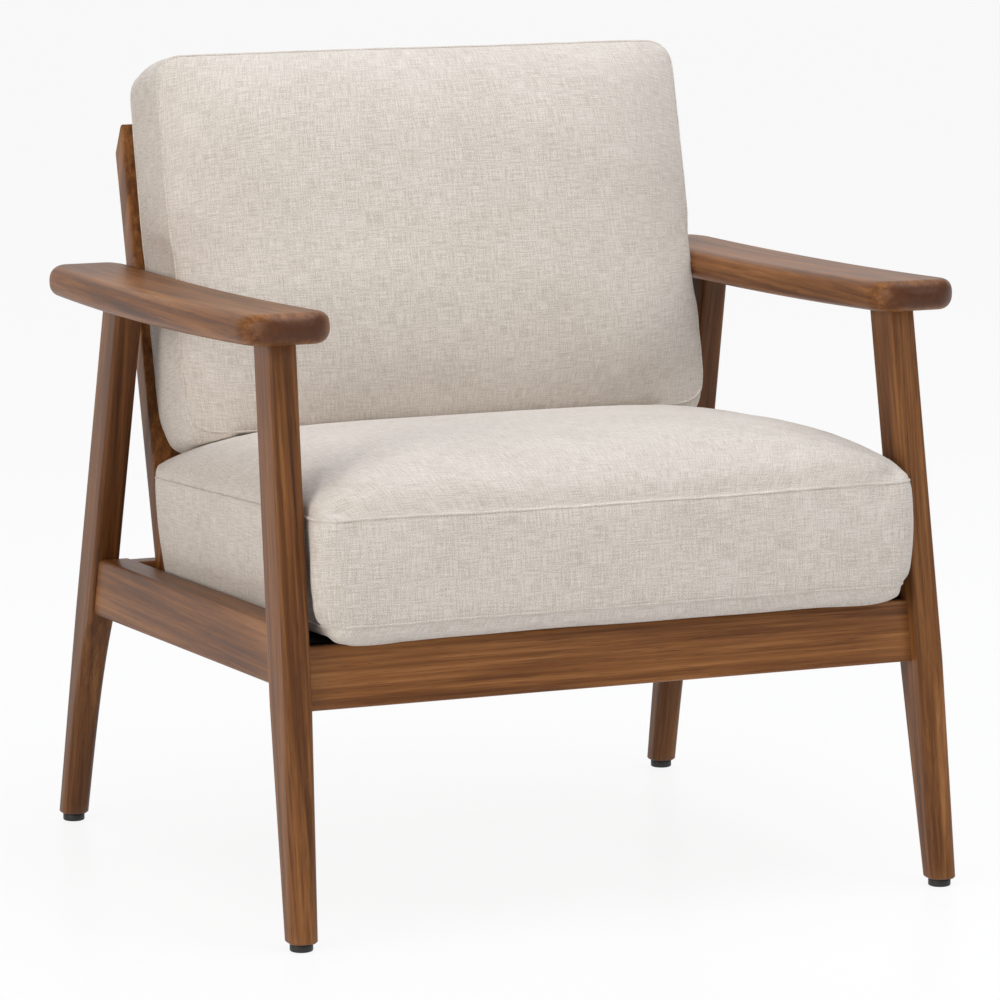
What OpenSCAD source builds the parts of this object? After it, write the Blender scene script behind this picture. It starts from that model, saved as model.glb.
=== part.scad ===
// Lounge armchair: a walnut show-wood frame with a slatted back and two loose cushions.
// X runs to the right as seen from the front, Y to the back and Z up.
// The origin lies on the floor, midway between the four feet.

/* [Legs] */
// Half the distance between the left and right feet, at the floor
foot_x = 335; // [325:1:345]
// Half the distance between the front and rear feet, at the floor
foot_y = 313; // [300:1:325]
// Thickness of every leg, seen from the front
leg_w = 28; // [25:1:32]
// Depth of every leg above the seat rails, seen from the side
leg_d = 44; // [42:1:48]
// Depth of a front leg at the floor
front_foot_d = 30; // [26:1:36]
// Depth of a rear leg at the floor
rear_foot_d = 28; // [24:1:36]
// Lean of all four legs towards the middle of the chair, in degrees
leg_tilt = 1.29; // [0.8:0.01:1.6]
// Backward lean of the front legs, in degrees
front_rake = 9.2; // [7:0.1:10]
// Forward lean of the rear legs, in degrees
rear_rake = 12.8; // [11:0.1:13.5]
// Height at which the taper towards the feet begins
shoulder_z = 222; // [190:1:222]
// Height of the top of the front legs, inside the arm
front_leg_top = 560; // [559:0.5:562]
// Height of the top of the rear legs, inside the arm
rear_leg_top = 551; // [550:0.5:554]

/* [Arms] */
// Distance between the outer edges of the two arms
overall_w = 750; // [735:1:770]
// Distance from the middle of the chair to the inner edge of an arm
arm_in_x = 282; // [280:1:283]
// Thickness of the arm
arm_t = 30; // [28:1:32]
// Distance of the arm's front end in front of the middle
arm_front = 285; // [275:1:300]
// Distance of the arm's rear end behind the middle
arm_rear = 296; // [290:1:310]
// Height of the middle of the arm at its front end
arm_front_z = 575; // [574:0.5:576]
// Height of the middle of the arm at its rear end
arm_rear_z = 563.5; // [562:0.5:565]
// How far the middle of the arm dips below a straight line
arm_dip = 4.4; // [0:0.2:6]
// Corner radius of the arm, seen from above
arm_corner = 36; // [24:1:40]

/* [Seat rails] */
// Height of the side rails
side_rail_h = 58; // [54:1:60]
// Thickness of the side rails
side_rail_t = 34; // [30:1:36]
// How far a side rail's outer face lies inside the leg's outer face
side_rail_set = 5; // [3:1:8]
// Height of a side rail's top edge where it meets the front leg
side_top_front = 297; // [294:0.5:300]
// Height of a side rail's top edge where it meets the rear leg
side_top_rear = 285; // [283:0.5:288]
// Height of the front rail's upper front edge
front_rail_top = 278; // [276:0.5:279]
// Height of the front rail, along its raked face
front_rail_h = 60; // [54:1:60]
// Thickness of the front and rear rails
cross_rail_t = 22; // [20:1:22]
// How far the front rail's face lies behind the front faces of the legs
front_rail_set = 15; // [12:0.5:16]
// Height of the rear rail's top edge
rear_rail_top = 283; // [280:0.5:283]
// Height of the rear rail
rear_rail_h = 60; // [56:1:60]
// Distance of the rear rail's front face behind the middle
rear_rail_y = 206; // [205:0.5:207]

/* [Back frame] */
// Backward lean of the back frame, in degrees
back_lean = 14.5; // [13.8:0.1:16]
// Thickness of a back stile, seen from the front
stile_w = 22; // [20:1:24]
// Depth of a back stile, seen from the side
stile_d = 24; // [22:1:25]
// Height of the stile's front top corner, measured along its lean from the rear rail's top
stile_len = 442; // [430:1:450]
// How deep the stile is let into the arm's inner edge
stile_notch = 1.5; // [1:0.1:2.5]
// Height of one back slat
slat_h = 44; // [36:1:46]
// Height of the crest rail at the top of the back
crest_h = 50; // [40:1:52]
// Thickness of the slats and the crest rail
slat_t = 14; // [12:1:16]
// Distance from one slat's middle to the next
slat_pitch = 75; // [72:0.5:76]

/* [Seat deck] */
// Slope of the seat deck down towards the back, in degrees
deck_rake = 2.8; // [2.4:0.1:3.2]
// Width of a deck batten
batten_w = 42; // [36:1:46]
// Thickness of a deck batten
batten_t = 14; // [12:1:14]
// Width of a webbing strap
strap_w = 50; // [40:1:54]
// Thickness of a webbing strap
strap_t = 1.4; // [1:0.1:1.6]
// Distance from one webbing strap's middle to the next
strap_pitch = 86; // [84:1:86]

/* [Cushions] */
// Width of the seat cushion between its upper side seams
seat_w = 616; // [600:1:617]
// Width of the seat cushion between its lower side seams, which lie inside the side rails
seat_low_w = 598; // [590:1:600]
// Depth of the seat cushion between its front and rear seams
seat_depth = 481; // [440:1:490]
// Height of the seat cushion's side band between its two seams
seat_band = 100.5; // [90:0.5:106]
// How far the seat cushion's top rises above its upper seam
seat_crown = 58; // [45:1:64]
// Width of the back cushion between its side seams
back_w = 556; // [540:1:556]
// Height of the back cushion between its lower and upper seams
back_h = 377; // [368:1:386]
// Depth of the back cushion's side band between its two seams
back_band = 96; // [88:1:98]
// How far the back cushion's face swells in front of its front seam
back_crown = 36; // [14:1:40]
// Backward lean of the back cushion, in degrees
cushion_lean = 13.5; // [13:0.1:14]

/* [Feet and fixings] */
// Diameter of a foot glide
glide_d = 22; // [18:1:25]
// Height of a foot glide
glide_h = 8; // [6:0.5:10]
// Diameter of the dowels that join the rails to the legs
dowel_d = 8; // [6:1:10]
// Diameter of the dowels that join the arms to the legs
arm_dowel_d = 10; // [8:1:12]
// Thread diameter of the bolts that hold the back frame
bolt_d = 6; // [5:1:6]
// Diameter of the wood screws
screw_d = 4; // [3.5:0.5:4.5]

/* [Hidden] */

// Clearance all round a glued dowel or a driven screw
glue_gap = 0.05;
// Clearance between wooden faces that are let into each other
let_in_gap = 0.15;
// Clearance between a cushion and what it lies on
soft_gap = 0.3;
// Length that is added where one solid cuts right through another
through = 1;
// Smoothness of round holes and pins
$fn = 48;

walnut = [0.42, 0.26, 0.18];
plain_wood = [0.78, 0.66, 0.48];
linen = [0.83, 0.79, 0.73];
foam_colour = [0.93, 0.89, 0.74];
black = [0.07, 0.07, 0.07];
steel = [0.72, 0.73, 0.75];
brass_colour = [0.72, 0.60, 0.34];

// Legs: the middle line, the faces and the taper of a leg at a height z
leg_arris = 5;
foot_arris = 11;
rear_taper_power = 3.5;
leg_rings = [0, 0.15, 0.3, 0.45, 0.6, 0.75, 0.88, 1];
function leg_x(z) = foot_x - tan(leg_tilt) * z;
function taper(z) = min(1, (z - glide_h) / (shoulder_z - glide_h));
function front_mid(z) = tan(front_rake) * (z - glide_h) - foot_y;
function front_depth(z) = front_foot_d + (leg_d - front_foot_d) * taper(z);
function front_face(z) = front_mid(z) - front_depth(z) / 2;
function rear_back(z) = foot_y + front_foot_d / 2 - tan(rear_rake) * (z - glide_h);
function rear_depth(z) = rear_foot_d + (leg_d - rear_foot_d) * pow(taper(z), rear_taper_power);
function rear_mid(z) = rear_back(z) - rear_depth(z) / 2;
function front_joint_y(z) = front_mid(z) + leg_d / 2;
function rear_joint_y(z) = rear_back(z) - leg_d;

// Arms: the plan outline and the height of the middle line at a distance y
arm_bow = 5;
arm_spread = 2;
arm_edge_power = 2.4;
arm_tip = 0.4;
arm_y0 = -arm_front;
arm_len = arm_front + arm_rear;
function arm_s(y) = (y - arm_y0) / arm_len;
function arm_bulge(y) = 4 * arm_s(y) * (1 - arm_s(y));
function arm_outer(y) = overall_w / 2 - arm_bow * (1 - arm_bulge(y));
function arm_inner(y) = arm_in_x - arm_spread * (1 - arm_s(y));
function arm_mid_z(y) = arm_front_z + (arm_rear_z - arm_front_z) * arm_s(y) - arm_dip * arm_bulge(y);

// Seat rails: their softened arrises, and what is left over for cutting their ends
side_rail_arris = 4;
cross_rail_arris = 3;
rail_spare = 20;
side_slope = (side_top_front - side_top_rear) / (front_joint_y(side_top_front) - rear_joint_y(side_top_rear));
side_out = leg_w / 2 - side_rail_set;
function side_top(y) = side_top_rear + side_slope * (y - rear_joint_y(side_top_rear));
function side_inner_x(z) = leg_x(z) + side_out - side_rail_t / cos(leg_tilt);
front_rail_y = front_face(front_rail_top) + front_rail_set;

// Seat deck: its own plane starts at the front rail's upper front edge and falls to the back
deck_front = 24;
deck_play = 1;
deck_end = rear_rail_y - stile_d - front_rail_y - deck_play;
deck_len = deck_end - deck_front;
cloth_t = 0.6;
strap_wave = 1.25;
strap_gap = 0.1;
strap_mid = -soft_gap - cloth_t - strap_wave - strap_t / 2 - strap_gap;
batten_top = strap_mid - strap_t / 2 - glue_gap;
strap_end = 4;
cloth_edge = 2;
cleat_h = 10;
cleat_w = 18;
deck_side_play = 1.5;
deck_half_w = side_inner_x(front_rail_top) - deck_side_play;
lap = batten_t / 2;
strap_columns = 6;
strap_rows = 4;

// Cushions
fabric_t = 1.2;
seat_base_crown = 18.5;
// Distance from the seat cushion's rear seam to the rear edge of the deck
seat_rear_set = 7.8;
seat_mid = deck_end - seat_rear_set - seat_depth / 2;
seat_corner = 16;
// How far the seat cushion's front edge bows forward in its middle
seat_bow = 6;
seat_bulge = 2.5;
back_rear_crown = 15;
back_corner = 30;
back_bulge = 3;
back_rise = 3.2;
back_zip_shift = 5;
// Form of a crowned panel: power and fullness of its fall towards the front or lower edge and the sides,
// then the same two for its rear or upper edge
seat_top_form = [4.8, 0.4, 3, 0.6];
seat_under_form = [4.8, 0.4, 4.8, 0.4];
back_face_form = [4.8, 0.85, 4.8, 0.85];
back_rear_form = [3.2, 0.45, 3.2, 0.45];
cushion_rings = [0.2, 0.5, 0.75, 0.9, 0.975];
corner_steps = 5;
side_steps = 3;
zip_slot = 8;
zip_slot_end = 10;

// Feet: the softened lower edge of a glide
glide_edge = 1.2;

// Fixings: lengths of dowels and screws, and the heads of the screws
dowel_len = 36;
front_dowel_len = 32;
arm_dowel_len = 38;
arm_dowel_drop = 6;
screw_head_d = 8;
screw_head_h = 2.4;
side_screw_len = 36;
front_screw_len = 34;
rear_screw_len = 46;
block_screw_len = 32;
arm_screw_len = 52;
glide_screw_len = 28;
glide_screw_seat = 2.5;

// Zips: the tape, the row of teeth and the slider
zip_len = 440;
zip_tape_w = 24;
tape_t = 0.8;
tape_gap = 0.2;
teeth_w = 5;
teeth_t = 1;
teeth_end = 6;
slider_w = 11;
slider_t = 2.6;
slider_gap = 0.1;
slider_end = 16;
tab_len = 18;
tab_w = 6;
tab_t = 1.2;

module on_right_and_left(side) {
    if (side > 0) children();
    else mirror([1, 0, 0]) children();
}

// Middle of a ring of points
function ring_middle(ring, i = 0) =
    i == len(ring) ? [0, 0, 0] : ring[i] / len(ring) + ring_middle(ring, i + 1);

// Solid skin over a list of rings; the rings turn anticlockwise seen from the last one
module loft(rings) {
    count = len(rings[0]);
    last = len(rings) - 1;
    start_middle = count * (last + 1);
    points = concat([for (ring = rings) each ring], [ring_middle(rings[0]), ring_middle(rings[last])]);
    skin = [for (j = [0:last - 1]) for (i = [0:count - 1])
        let (a = j * count + i, b = j * count + (i + 1) % count)
        each [[a, a + count, b], [b, a + count, b + count]]];
    caps = [for (i = [0:count - 1])
        let (b = (i + 1) % count)
        each [[i, b, start_middle], [last * count + b, last * count + i, start_middle + 1]]];
    polyhedron(points, concat(skin, caps), convexity = 6);
}

// Points of a rounded rectangle, with optional points along its straight sides
function rounded(w, d, r, steps, between = 0) = [
    for (corner = [0:3])
        let (sx = corner == 0 || corner == 3 ? 1 : -1, sy = corner < 2 ? 1 : -1,
             cx = sx * (w / 2 - r), cy = sy * (d / 2 - r),
             next_x = corner == 0 ? -cx : corner == 2 ? -cx : cx,
             next_y = corner == 1 ? -cy : corner == 3 ? -cy : cy,
             end_a = 90 * (corner + 1),
             from = [cx + r * cos(end_a), cy + r * sin(end_a)],
             to = [next_x + r * cos(end_a), next_y + r * sin(end_a)])
        each concat(
            [for (k = [0:steps]) let (a = 90 * corner + 90 * k / steps) [cx + r * cos(a), cy + r * sin(a)]],
            [for (k = [1:1:between]) from + (to - from) * k / (between + 1)])];

// Flat rounded rectangle with true arcs
module round_rect(w, h, r) {
    square([w - 2 * r, h], center = true);
    square([w, h - 2 * r], center = true);
    for (x = [-1, 1], y = [-1, 1])
        translate([x * (w / 2 - r), y * (h / 2 - r)]) circle(r);
}

// A leg is a loft of level rings that follow its lean, its taper and its softening arrises
module leg_shape(top, front) {
    heights = concat([for (t = leg_rings) glide_h + t * (shoulder_z - glide_h)], [top]);
    loft([for (z = heights)
        let (r = foot_arris + (leg_arris - foot_arris) * taper(z),
             mid = front ? front_mid(z) : rear_mid(z),
             depth = front ? front_depth(z) : rear_depth(z))
        [for (p = rounded(leg_w, depth, r, corner_steps)) [leg_x(z) + p[0], mid + p[1], z]]]);
}

// Heights of the two dowels or bolts in a rail's end, set in from its edges by a share of its height
fixing_shares = [0.28, 0.72];
function fixing_heights(top, h) = [for (share = fixing_shares) top - share * h];
front_dowel_z = fixing_heights(front_rail_top, front_rail_h);
side_front_dowel_z = fixing_heights(side_top_front, side_rail_h);
side_rear_dowel_z = fixing_heights(side_top_rear, side_rail_h);
rear_dowel_z = fixing_heights(rear_rail_top, rear_rail_h);
function front_dowel_y(z) = front_rail_y + cross_rail_t / 2 + (z - front_rail_top) * tan(front_rake);

module dowel(length, diameter, gap = 0) {
    cylinder(h = length + 2 * gap, d = diameter + 2 * gap, center = true);
}

// All rail dowels of the right half of the chair, or their holes
module half_rail_dowels(gap = 0) {
    for (z = front_dowel_z)
        translate([leg_x(z) - leg_w / 2, front_dowel_y(z), z]) rotate([0, 90, 0])
            dowel(front_dowel_len, dowel_d, gap);
    for (z = side_front_dowel_z)
        translate([leg_x(z), front_joint_y(z), z]) rotate([90, 0, 0]) dowel(dowel_len, dowel_d, gap);
    for (z = side_rear_dowel_z)
        translate([leg_x(z), rear_joint_y(z), z]) rotate([90, 0, 0]) dowel(dowel_len, dowel_d, gap);
    for (z = rear_dowel_z)
        translate([side_inner_x(z), rear_rail_y + cross_rail_t / 2, z]) rotate([0, 90, 0])
            dowel(dowel_len, dowel_d, gap);
}

// The two arm dowels of the right half, or their holes
module half_arm_dowels(gap = 0) {
    translate([leg_x(front_leg_top), front_mid(front_leg_top), front_leg_top - arm_dowel_drop])
        dowel(arm_dowel_len, arm_dowel_d, gap);
    translate([leg_x(rear_leg_top), rear_mid(rear_leg_top), rear_leg_top - arm_dowel_drop])
        dowel(arm_dowel_len, arm_dowel_d, gap);
}

// Wood screw with a flat countersunk head, along its own z
module wood_screw(length, gap = 0) {
    translate([0, 0, -gap])
        cylinder(h = screw_head_h + gap, d1 = screw_head_d + 2 * gap, d2 = screw_d + 2 * gap);
    cylinder(h = length + gap, d = screw_d + 2 * gap);
}

// Screw that runs up through a glide into its leg; its head lies in the glide
module glide_screw(gap = 0) {
    translate([0, 0, glide_screw_seat]) wood_screw(glide_screw_len, gap);
}

module at_foot(front) {
    translate([leg_x(glide_h), front ? front_mid(glide_h) : rear_mid(glide_h), 0]) children();
}

module leg(side, front) {
    color(walnut) on_right_and_left(side) difference() {
        leg_shape(front ? front_leg_top : rear_leg_top, front);
        half_rail_dowels(glue_gap);
        half_arm_dowels(glue_gap);
        at_foot(front) glide_screw(glue_gap);
    }
}

// Round black plastic pad with a recess for its screw
module glide(side, front) {
    edge = glide_edge;
    r = glide_d / 2;
    color(black) on_right_and_left(side) at_foot(front) difference() {
        rotate_extrude() polygon([[0, 0], [r - edge, 0], [r, edge], [r, glide_h], [0, glide_h]]);
        glide_screw(glue_gap);
        translate([0, 0, -through]) cylinder(h = through + glide_screw_seat, d = screw_head_d + 1);
    }
}

// Arm: rings from the front tip to the rear tip, with bullnosed edges and round corners
function arm_ring(y) =
    let (reach = max(arm_tip, min(y + arm_front, arm_rear - y)),
         half_t = arm_t / 2,
         t = reach < half_t ? sqrt(half_t * half_t - pow(half_t - reach, 2)) : half_t,
         short = max(0, arm_corner - reach),
         cut = arm_corner - sqrt(arm_corner * arm_corner - short * short),
         inside = arm_inner(y) + cut + t,
         outside = arm_outer(y) - cut - t,
         k = 2 / arm_edge_power)
    [for (half = [0, 1]) for (a = [-90:15:90])
        let (way = half == 0 ? 1 : -1,
             across = way * pow(cos(a), k) * t,
             up = way * sign(sin(a)) * pow(abs(sin(a)), k) * t)
        [(half == 0 ? inside - across : outside - across), y, arm_mid_z(y) + up]];

arm_reaches = [arm_tip, 2, 5, 9, 15, 24, arm_corner];
arm_inner_stations = 7;
arm_stations = concat(
    [for (r = arm_reaches) arm_y0 + r],
    [for (i = [1:arm_inner_stations])
        arm_y0 + arm_corner + (arm_len - 2 * arm_corner) * i / (arm_inner_stations + 1)],
    [for (i = [len(arm_reaches) - 1:-1:0]) arm_rear - arm_reaches[i]]);

// Shallow upright housing in the arm's underside for the top of a leaning leg
housing_gap = 0.3;
housing_play = 1;
module leg_housing(front) {
    top = front ? front_leg_top : rear_leg_top;
    depth = front ? front_depth(top) : rear_depth(top);
    mid = front ? front_mid(top) : rear_mid(top);
    translate([leg_x(top), mid, top - arm_t])
        linear_extrude(arm_t + glue_gap)
        round_rect(leg_w + 2 * housing_gap, depth + 2 * housing_play, leg_arris);
}

module arm(side) {
    color(walnut) on_right_and_left(side) difference() {
        loft([for (y = arm_stations) arm_ring(y)]);
        leg_housing(true);
        leg_housing(false);
        half_arm_dowels(glue_gap);
        stile_shape(let_in_gap);
        arm_screw(glue_gap);
    }
}

// Side rail: the side outline between the two legs, cut from a rounded bar that leans with them
module side_rail(side) {
    low = min(side_top_front, side_top_rear) - side_rail_h - rail_spare;
    high = max(side_top_front, side_top_rear) + rail_spare;
    reach = 2 * foot_y;
    color(walnut) on_right_and_left(side) difference() {
        intersection() {
            rotate([90, 0, 90]) linear_extrude(2 * foot_x) polygon([
                [front_joint_y(low), low], [rear_joint_y(low), low],
                [rear_joint_y(high), high], [front_joint_y(high), high]]);
            translate([foot_x + side_out, 0, 0]) rotate([0, -leg_tilt, 0])
                translate([-side_rail_t / 2, 0, side_top(0)]) rotate([90 + atan(side_slope), 0, 0])
                translate([0, -side_rail_h / 2, -reach / 2]) linear_extrude(reach)
                round_rect(side_rail_t, side_rail_h, side_rail_arris);
        }
        half_rail_dowels(glue_gap);
        side_cleat_screws(glue_gap);
    }
}

// Front rail: raked like the front legs, its ends cut to their inner faces
module front_rail() {
    low = front_rail_top - front_rail_h - rail_spare;
    high = front_rail_top + rail_spare;
    function end_x(z) = leg_x(z) - leg_w / 2;
    color(walnut) difference() {
        intersection() {
            translate([0, foot_y, 0]) rotate([90, 0, 0]) linear_extrude(2 * foot_y) polygon([
                [-end_x(low), low], [end_x(low), low], [end_x(high), high], [-end_x(high), high]]);
            translate([-foot_x, front_rail_y, front_rail_top]) rotate([-front_rake, 0, 0]) rotate([90, 0, 90])
                translate([cross_rail_t / 2, -front_rail_h / 2, 0]) linear_extrude(2 * foot_x)
                round_rect(cross_rail_t, front_rail_h, cross_rail_arris);
        }
        both_halves() half_rail_dowels(glue_gap);
        front_cleat_screws(glue_gap);
        both_halves() block_screw_front(glue_gap);
    }
}

module both_halves() {
    children();
    mirror([1, 0, 0]) children();
}

// Rear rail: upright board between the side rails; the back stiles are bolted to its face
module rear_rail() {
    low = rear_rail_top - rear_rail_h - rail_spare;
    high = rear_rail_top + rail_spare;
    color(walnut) difference() {
        intersection() {
            translate([0, foot_y, 0]) rotate([90, 0, 0]) linear_extrude(2 * foot_y) polygon([
                [-side_inner_x(low), low], [side_inner_x(low), low],
                [side_inner_x(high), high], [-side_inner_x(high), high]]);
            translate([-foot_x, rear_rail_y + cross_rail_t / 2, rear_rail_top - rear_rail_h / 2])
                rotate([90, 0, 90]) linear_extrude(2 * foot_x)
                round_rect(cross_rail_t, rear_rail_h, cross_rail_arris);
        }
        both_halves() half_rail_dowels(glue_gap);
        both_halves() half_bolt_holes();
        rear_cleat_screws(glue_gap);
    }
}

// The back frame's own space: v runs up along the lean, from the rear rail's top edge
module back_space() {
    translate([0, rear_rail_y, rear_rail_top]) rotate([-back_lean, 0, 0]) children();
}

// Stile: an upright foot on the rear rail, then a straight leaning part with a sloping top end
stile_out = arm_in_x + stile_notch;
stile_foot_lift = 3;
stile_foot_z = rear_rail_top - rear_rail_h + stile_foot_lift;
stile_top_cut = 26;
function lean_y(v, u) = rear_rail_y + v * sin(back_lean) + u * cos(back_lean);
function lean_z(v, u) = rear_rail_top + v * cos(back_lean) - u * sin(back_lean);
stile_bend = stile_d * tan(back_lean / 2);

module stile_shape(gap = 0) {
    cut_v = stile_len - stile_top_cut;
    translate([stile_out - stile_w - gap, 0, 0]) rotate([90, 0, 90])
        linear_extrude(stile_w + 2 * gap) polygon([
        [rear_rail_y + gap, stile_foot_z - gap],
        [rear_rail_y + gap, rear_rail_top],
        [lean_y(cut_v, gap), lean_z(cut_v, gap)],
        [lean_y(stile_len, -stile_d - gap), lean_z(stile_len, -stile_d - gap)],
        [lean_y(stile_bend, -stile_d - gap), lean_z(stile_bend, -stile_d - gap)],
        [rear_rail_y - stile_d - gap, rear_rail_top + stile_bend],
        [rear_rail_y - stile_d - gap, stile_foot_z - gap]]);
}

module back_stile(side) {
    color(walnut) on_right_and_left(side) difference() {
        stile_shape();
        slat_bodies(glue_gap);
        half_bolt_holes();
        half_insert_holes();
        arm_screw(glue_gap);
    }
}

// Slats and crest rail: rounded boards whose ends are let into the stiles as stub tenons
first_slat_v = 100;
slat_count = 4;
crest_v = first_slat_v + slat_count * slat_pitch;
tenon_len = 10;
tenon_t = 8;
tenon_shoulder = 7;
slat_arris = 4;
slat_back = -9;
slat_span = 2 * (stile_out - stile_w);

module slat_body(v, h, gap = 0) {
    middle = slat_back - slat_t / 2;
    back_space() translate([0, middle, v]) {
        rotate([90, 0, 90]) translate([0, 0, -slat_span / 2 + gap])
            linear_extrude(slat_span - 2 * gap) round_rect(slat_t, h, slat_arris);
        cube([slat_span + 2 * (tenon_len + gap), tenon_t + 2 * gap, h - 2 * (tenon_shoulder - gap)],
             center = true);
    }
}

module slat_bodies(gap = 0) {
    for (i = [0:slat_count - 1]) slat_body(first_slat_v + i * slat_pitch, slat_h, gap);
    slat_body(crest_v, crest_h, gap);
}

// Slats are counted from the lowest one
module back_slat(number) {
    color(walnut) slat_body(first_slat_v + (number - 1) * slat_pitch, slat_h);
}

module crest_rail() {
    color(walnut) slat_body(crest_v, crest_h);
}

// Bolts of the right stile's foot: head and washer behind the rear rail, nut in the stile
bolt_x = stile_out - stile_w / 2;
insert_d = 9;
insert_len = 13;
washer_d = 15;
washer_t = 1.2;
bolt_in = 16;

module at_back_bolts() {
    for (z = rear_dowel_z) translate([bolt_x, rear_rail_y, z]) rotate([-90, 0, 0]) children();
}

// Bolt holes through the rail and into the stile, and the wider holes of the insert nuts
module half_bolt_holes() {
    at_back_bolts() translate([0, 0, -bolt_in - let_in_gap])
        cylinder(h = bolt_in + cross_rail_t + 2 * through, d = bolt_d + 2 * let_in_gap);
}

module half_insert_holes() {
    at_back_bolts() translate([0, 0, -insert_len - glue_gap])
        cylinder(h = insert_len + through, d = insert_d + 2 * glue_gap);
}

module back_bolts() {
    color(steel) both_halves() at_back_bolts() {
        translate([0, 0, -bolt_in]) cylinder(h = bolt_in + cross_rail_t + washer_t, d = bolt_d);
        translate([0, 0, cross_rail_t + washer_t]) bolt_head();
    }
}

// Low domed head with a hexagon socket
module bolt_head() {
    head_r = 6.5;
    head_h = 3.6;
    rim = 1;
    socket_d = 4.6;
    socket_depth = 2.2;
    difference() {
        rotate_extrude() polygon([[0, 0], [head_r, 0], [head_r, rim], [head_r * 0.82, head_h * 0.75],
                                  [head_r / 2, head_h], [0, head_h]]);
        translate([0, 0, head_h - socket_depth]) cylinder(h = socket_depth + through, d = socket_d, $fn = 6);
    }
}

module back_washers() {
    color(steel) both_halves() at_back_bolts() translate([0, 0, cross_rail_t]) difference() {
        cylinder(h = washer_t, d = washer_d);
        translate([0, 0, -through]) cylinder(h = washer_t + 2 * through, d = bolt_d + 2 * let_in_gap);
    }
}

module insert_nuts() {
    color(brass_colour) both_halves() at_back_bolts() translate([0, 0, -insert_len]) difference() {
        cylinder(h = insert_len, d = insert_d);
        translate([0, 0, -through]) cylinder(h = insert_len + 2 * through, d = bolt_d + glue_gap);
    }
}

// Screw from the stile's inner face into the arm, across the joint between them
arm_screw_v = 287;
module arm_screw(gap = 0) {
    back_space() translate([stile_out - stile_w, -stile_d / 2, arm_screw_v]) rotate([0, 90, 0])
        wood_screw(arm_screw_len, gap);
}

// Seat deck space: v runs back along the sloping deck, and its plane is the cushion's underside
module deck_space() {
    translate([0, front_rail_y, front_rail_top + 2 * soft_gap]) rotate([-deck_rake, 0, 0]) children();
}

// A board that lies along x, from v to v + w, with its top face at the height top
module deck_board(x0, x1, v0, v1, top, t) {
    translate([x0, v0, top - t]) cube([x1 - x0, v1 - v0, t]);
}

cleat_top = batten_top - batten_t - strap_gap;
side_cleat_start = 70;
side_cleat_end = deck_len - 5;
cleat_screw_v = [110, 230, 350];
cross_screw_x = [-180, 0, 180];

// Cleats: small ledges on the inner faces of the rails; the deck frame rests on them
module side_cleat(side) {
    color(plain_wood) on_right_and_left(side) difference() {
        intersection() {
            deck_space() deck_board(deck_half_w - 2 * cleat_w, foot_x, side_cleat_start, side_cleat_end,
                                    cleat_top, cleat_h);
            translate([foot_x + side_out - side_rail_t / cos(leg_tilt), 0, 0]) rotate([0, -leg_tilt, 0])
                translate([-cleat_w, -foot_y, 0]) cube([cleat_w, 2 * foot_y, 2 * shoulder_z]);
        }
        side_cleat_screws(glue_gap);
    }
}

module side_cleat_screws(gap = 0) {
    for (v = cleat_screw_v)
        translate([side_inner_x(0) - cleat_w / cos(leg_tilt), 0, 0]) rotate([0, -leg_tilt, 0])
        translate([0, front_rail_y + v, cleat_screw_z(v)]) rotate([0, 90, 0]) wood_screw(side_screw_len, gap);
}

function cleat_screw_z(v) = front_rail_top + cleat_top - cleat_h / 2 - tan(deck_rake) * v;

// Front ledge behind the front rail, and rear ledge between the feet of the stiles
front_cleat_x = 240;
rear_cleat_x = stile_out - stile_w - 3;
front_cleat_drop = 4;
module front_cleat() {
    color(plain_wood) difference() {
        front_cleat_space() translate([-front_cleat_x, 0, 0]) cube([2 * front_cleat_x, cleat_w, cleat_h]);
        front_cleat_screws(glue_gap);
    }
}

// Space on the raked rear face of the front rail
module front_cleat_space() {
    drop = front_rail_top - cleat_screw_z(deck_front) + cleat_h / 2 + front_cleat_drop;
    translate([0, front_rail_y, front_rail_top]) rotate([-front_rake, 0, 0])
        translate([0, cross_rail_t, -drop]) children();
}

module front_cleat_screws(gap = 0) {
    for (x = cross_screw_x)
        front_cleat_space() translate([x, cleat_w, cleat_h / 2]) rotate([90, 0, 0])
            wood_screw(front_screw_len, gap);
}

rear_cleat_lead = 9;
rear_cleat_z = cleat_screw_z(deck_end) - cleat_h / 2 - deck_play;
module rear_cleat() {
    color(plain_wood) difference() {
        translate([-rear_cleat_x, rear_rail_y - stile_d - rear_cleat_lead, rear_cleat_z])
            cube([2 * rear_cleat_x, stile_d + rear_cleat_lead, cleat_h]);
        rear_cleat_screws(glue_gap);
    }
}

module rear_cleat_screws(gap = 0) {
    for (x = cross_screw_x)
        translate([x, rear_rail_y - stile_d - rear_cleat_lead, rear_cleat_z + cleat_h / 2])
            rotate([-90, 0, 0]) wood_screw(rear_screw_len, gap);
}

module cleat_screws() {
    color(steel) {
        both_halves() side_cleat_screws();
        front_cleat_screws();
        rear_cleat_screws();
    }
}

// Corner blocks: stout triangles that brace the front rail against the side rails
block_size = 62;
block_h = 20;
block_z = 221;
block_toe = 12;
block_sink = 8;
block_screw_in = 10;
block_screw_back = 16;
block_screw_rise = 3;
module block_faces() {
    block_y = front_rail_y + cross_rail_t / cos(front_rake) - (front_rail_top - block_z) * tan(front_rake);
    block_x = side_inner_x(block_z);
    translate([0, 0, block_z]) linear_extrude(block_h) polygon([
        [block_x + block_sink, block_y - block_sink], [block_x - block_size, block_y - block_sink],
        [block_x - block_size, block_y + block_toe], [block_x - block_toe, block_y + block_size],
        [block_x + block_sink, block_y + block_size]]);
}

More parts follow.
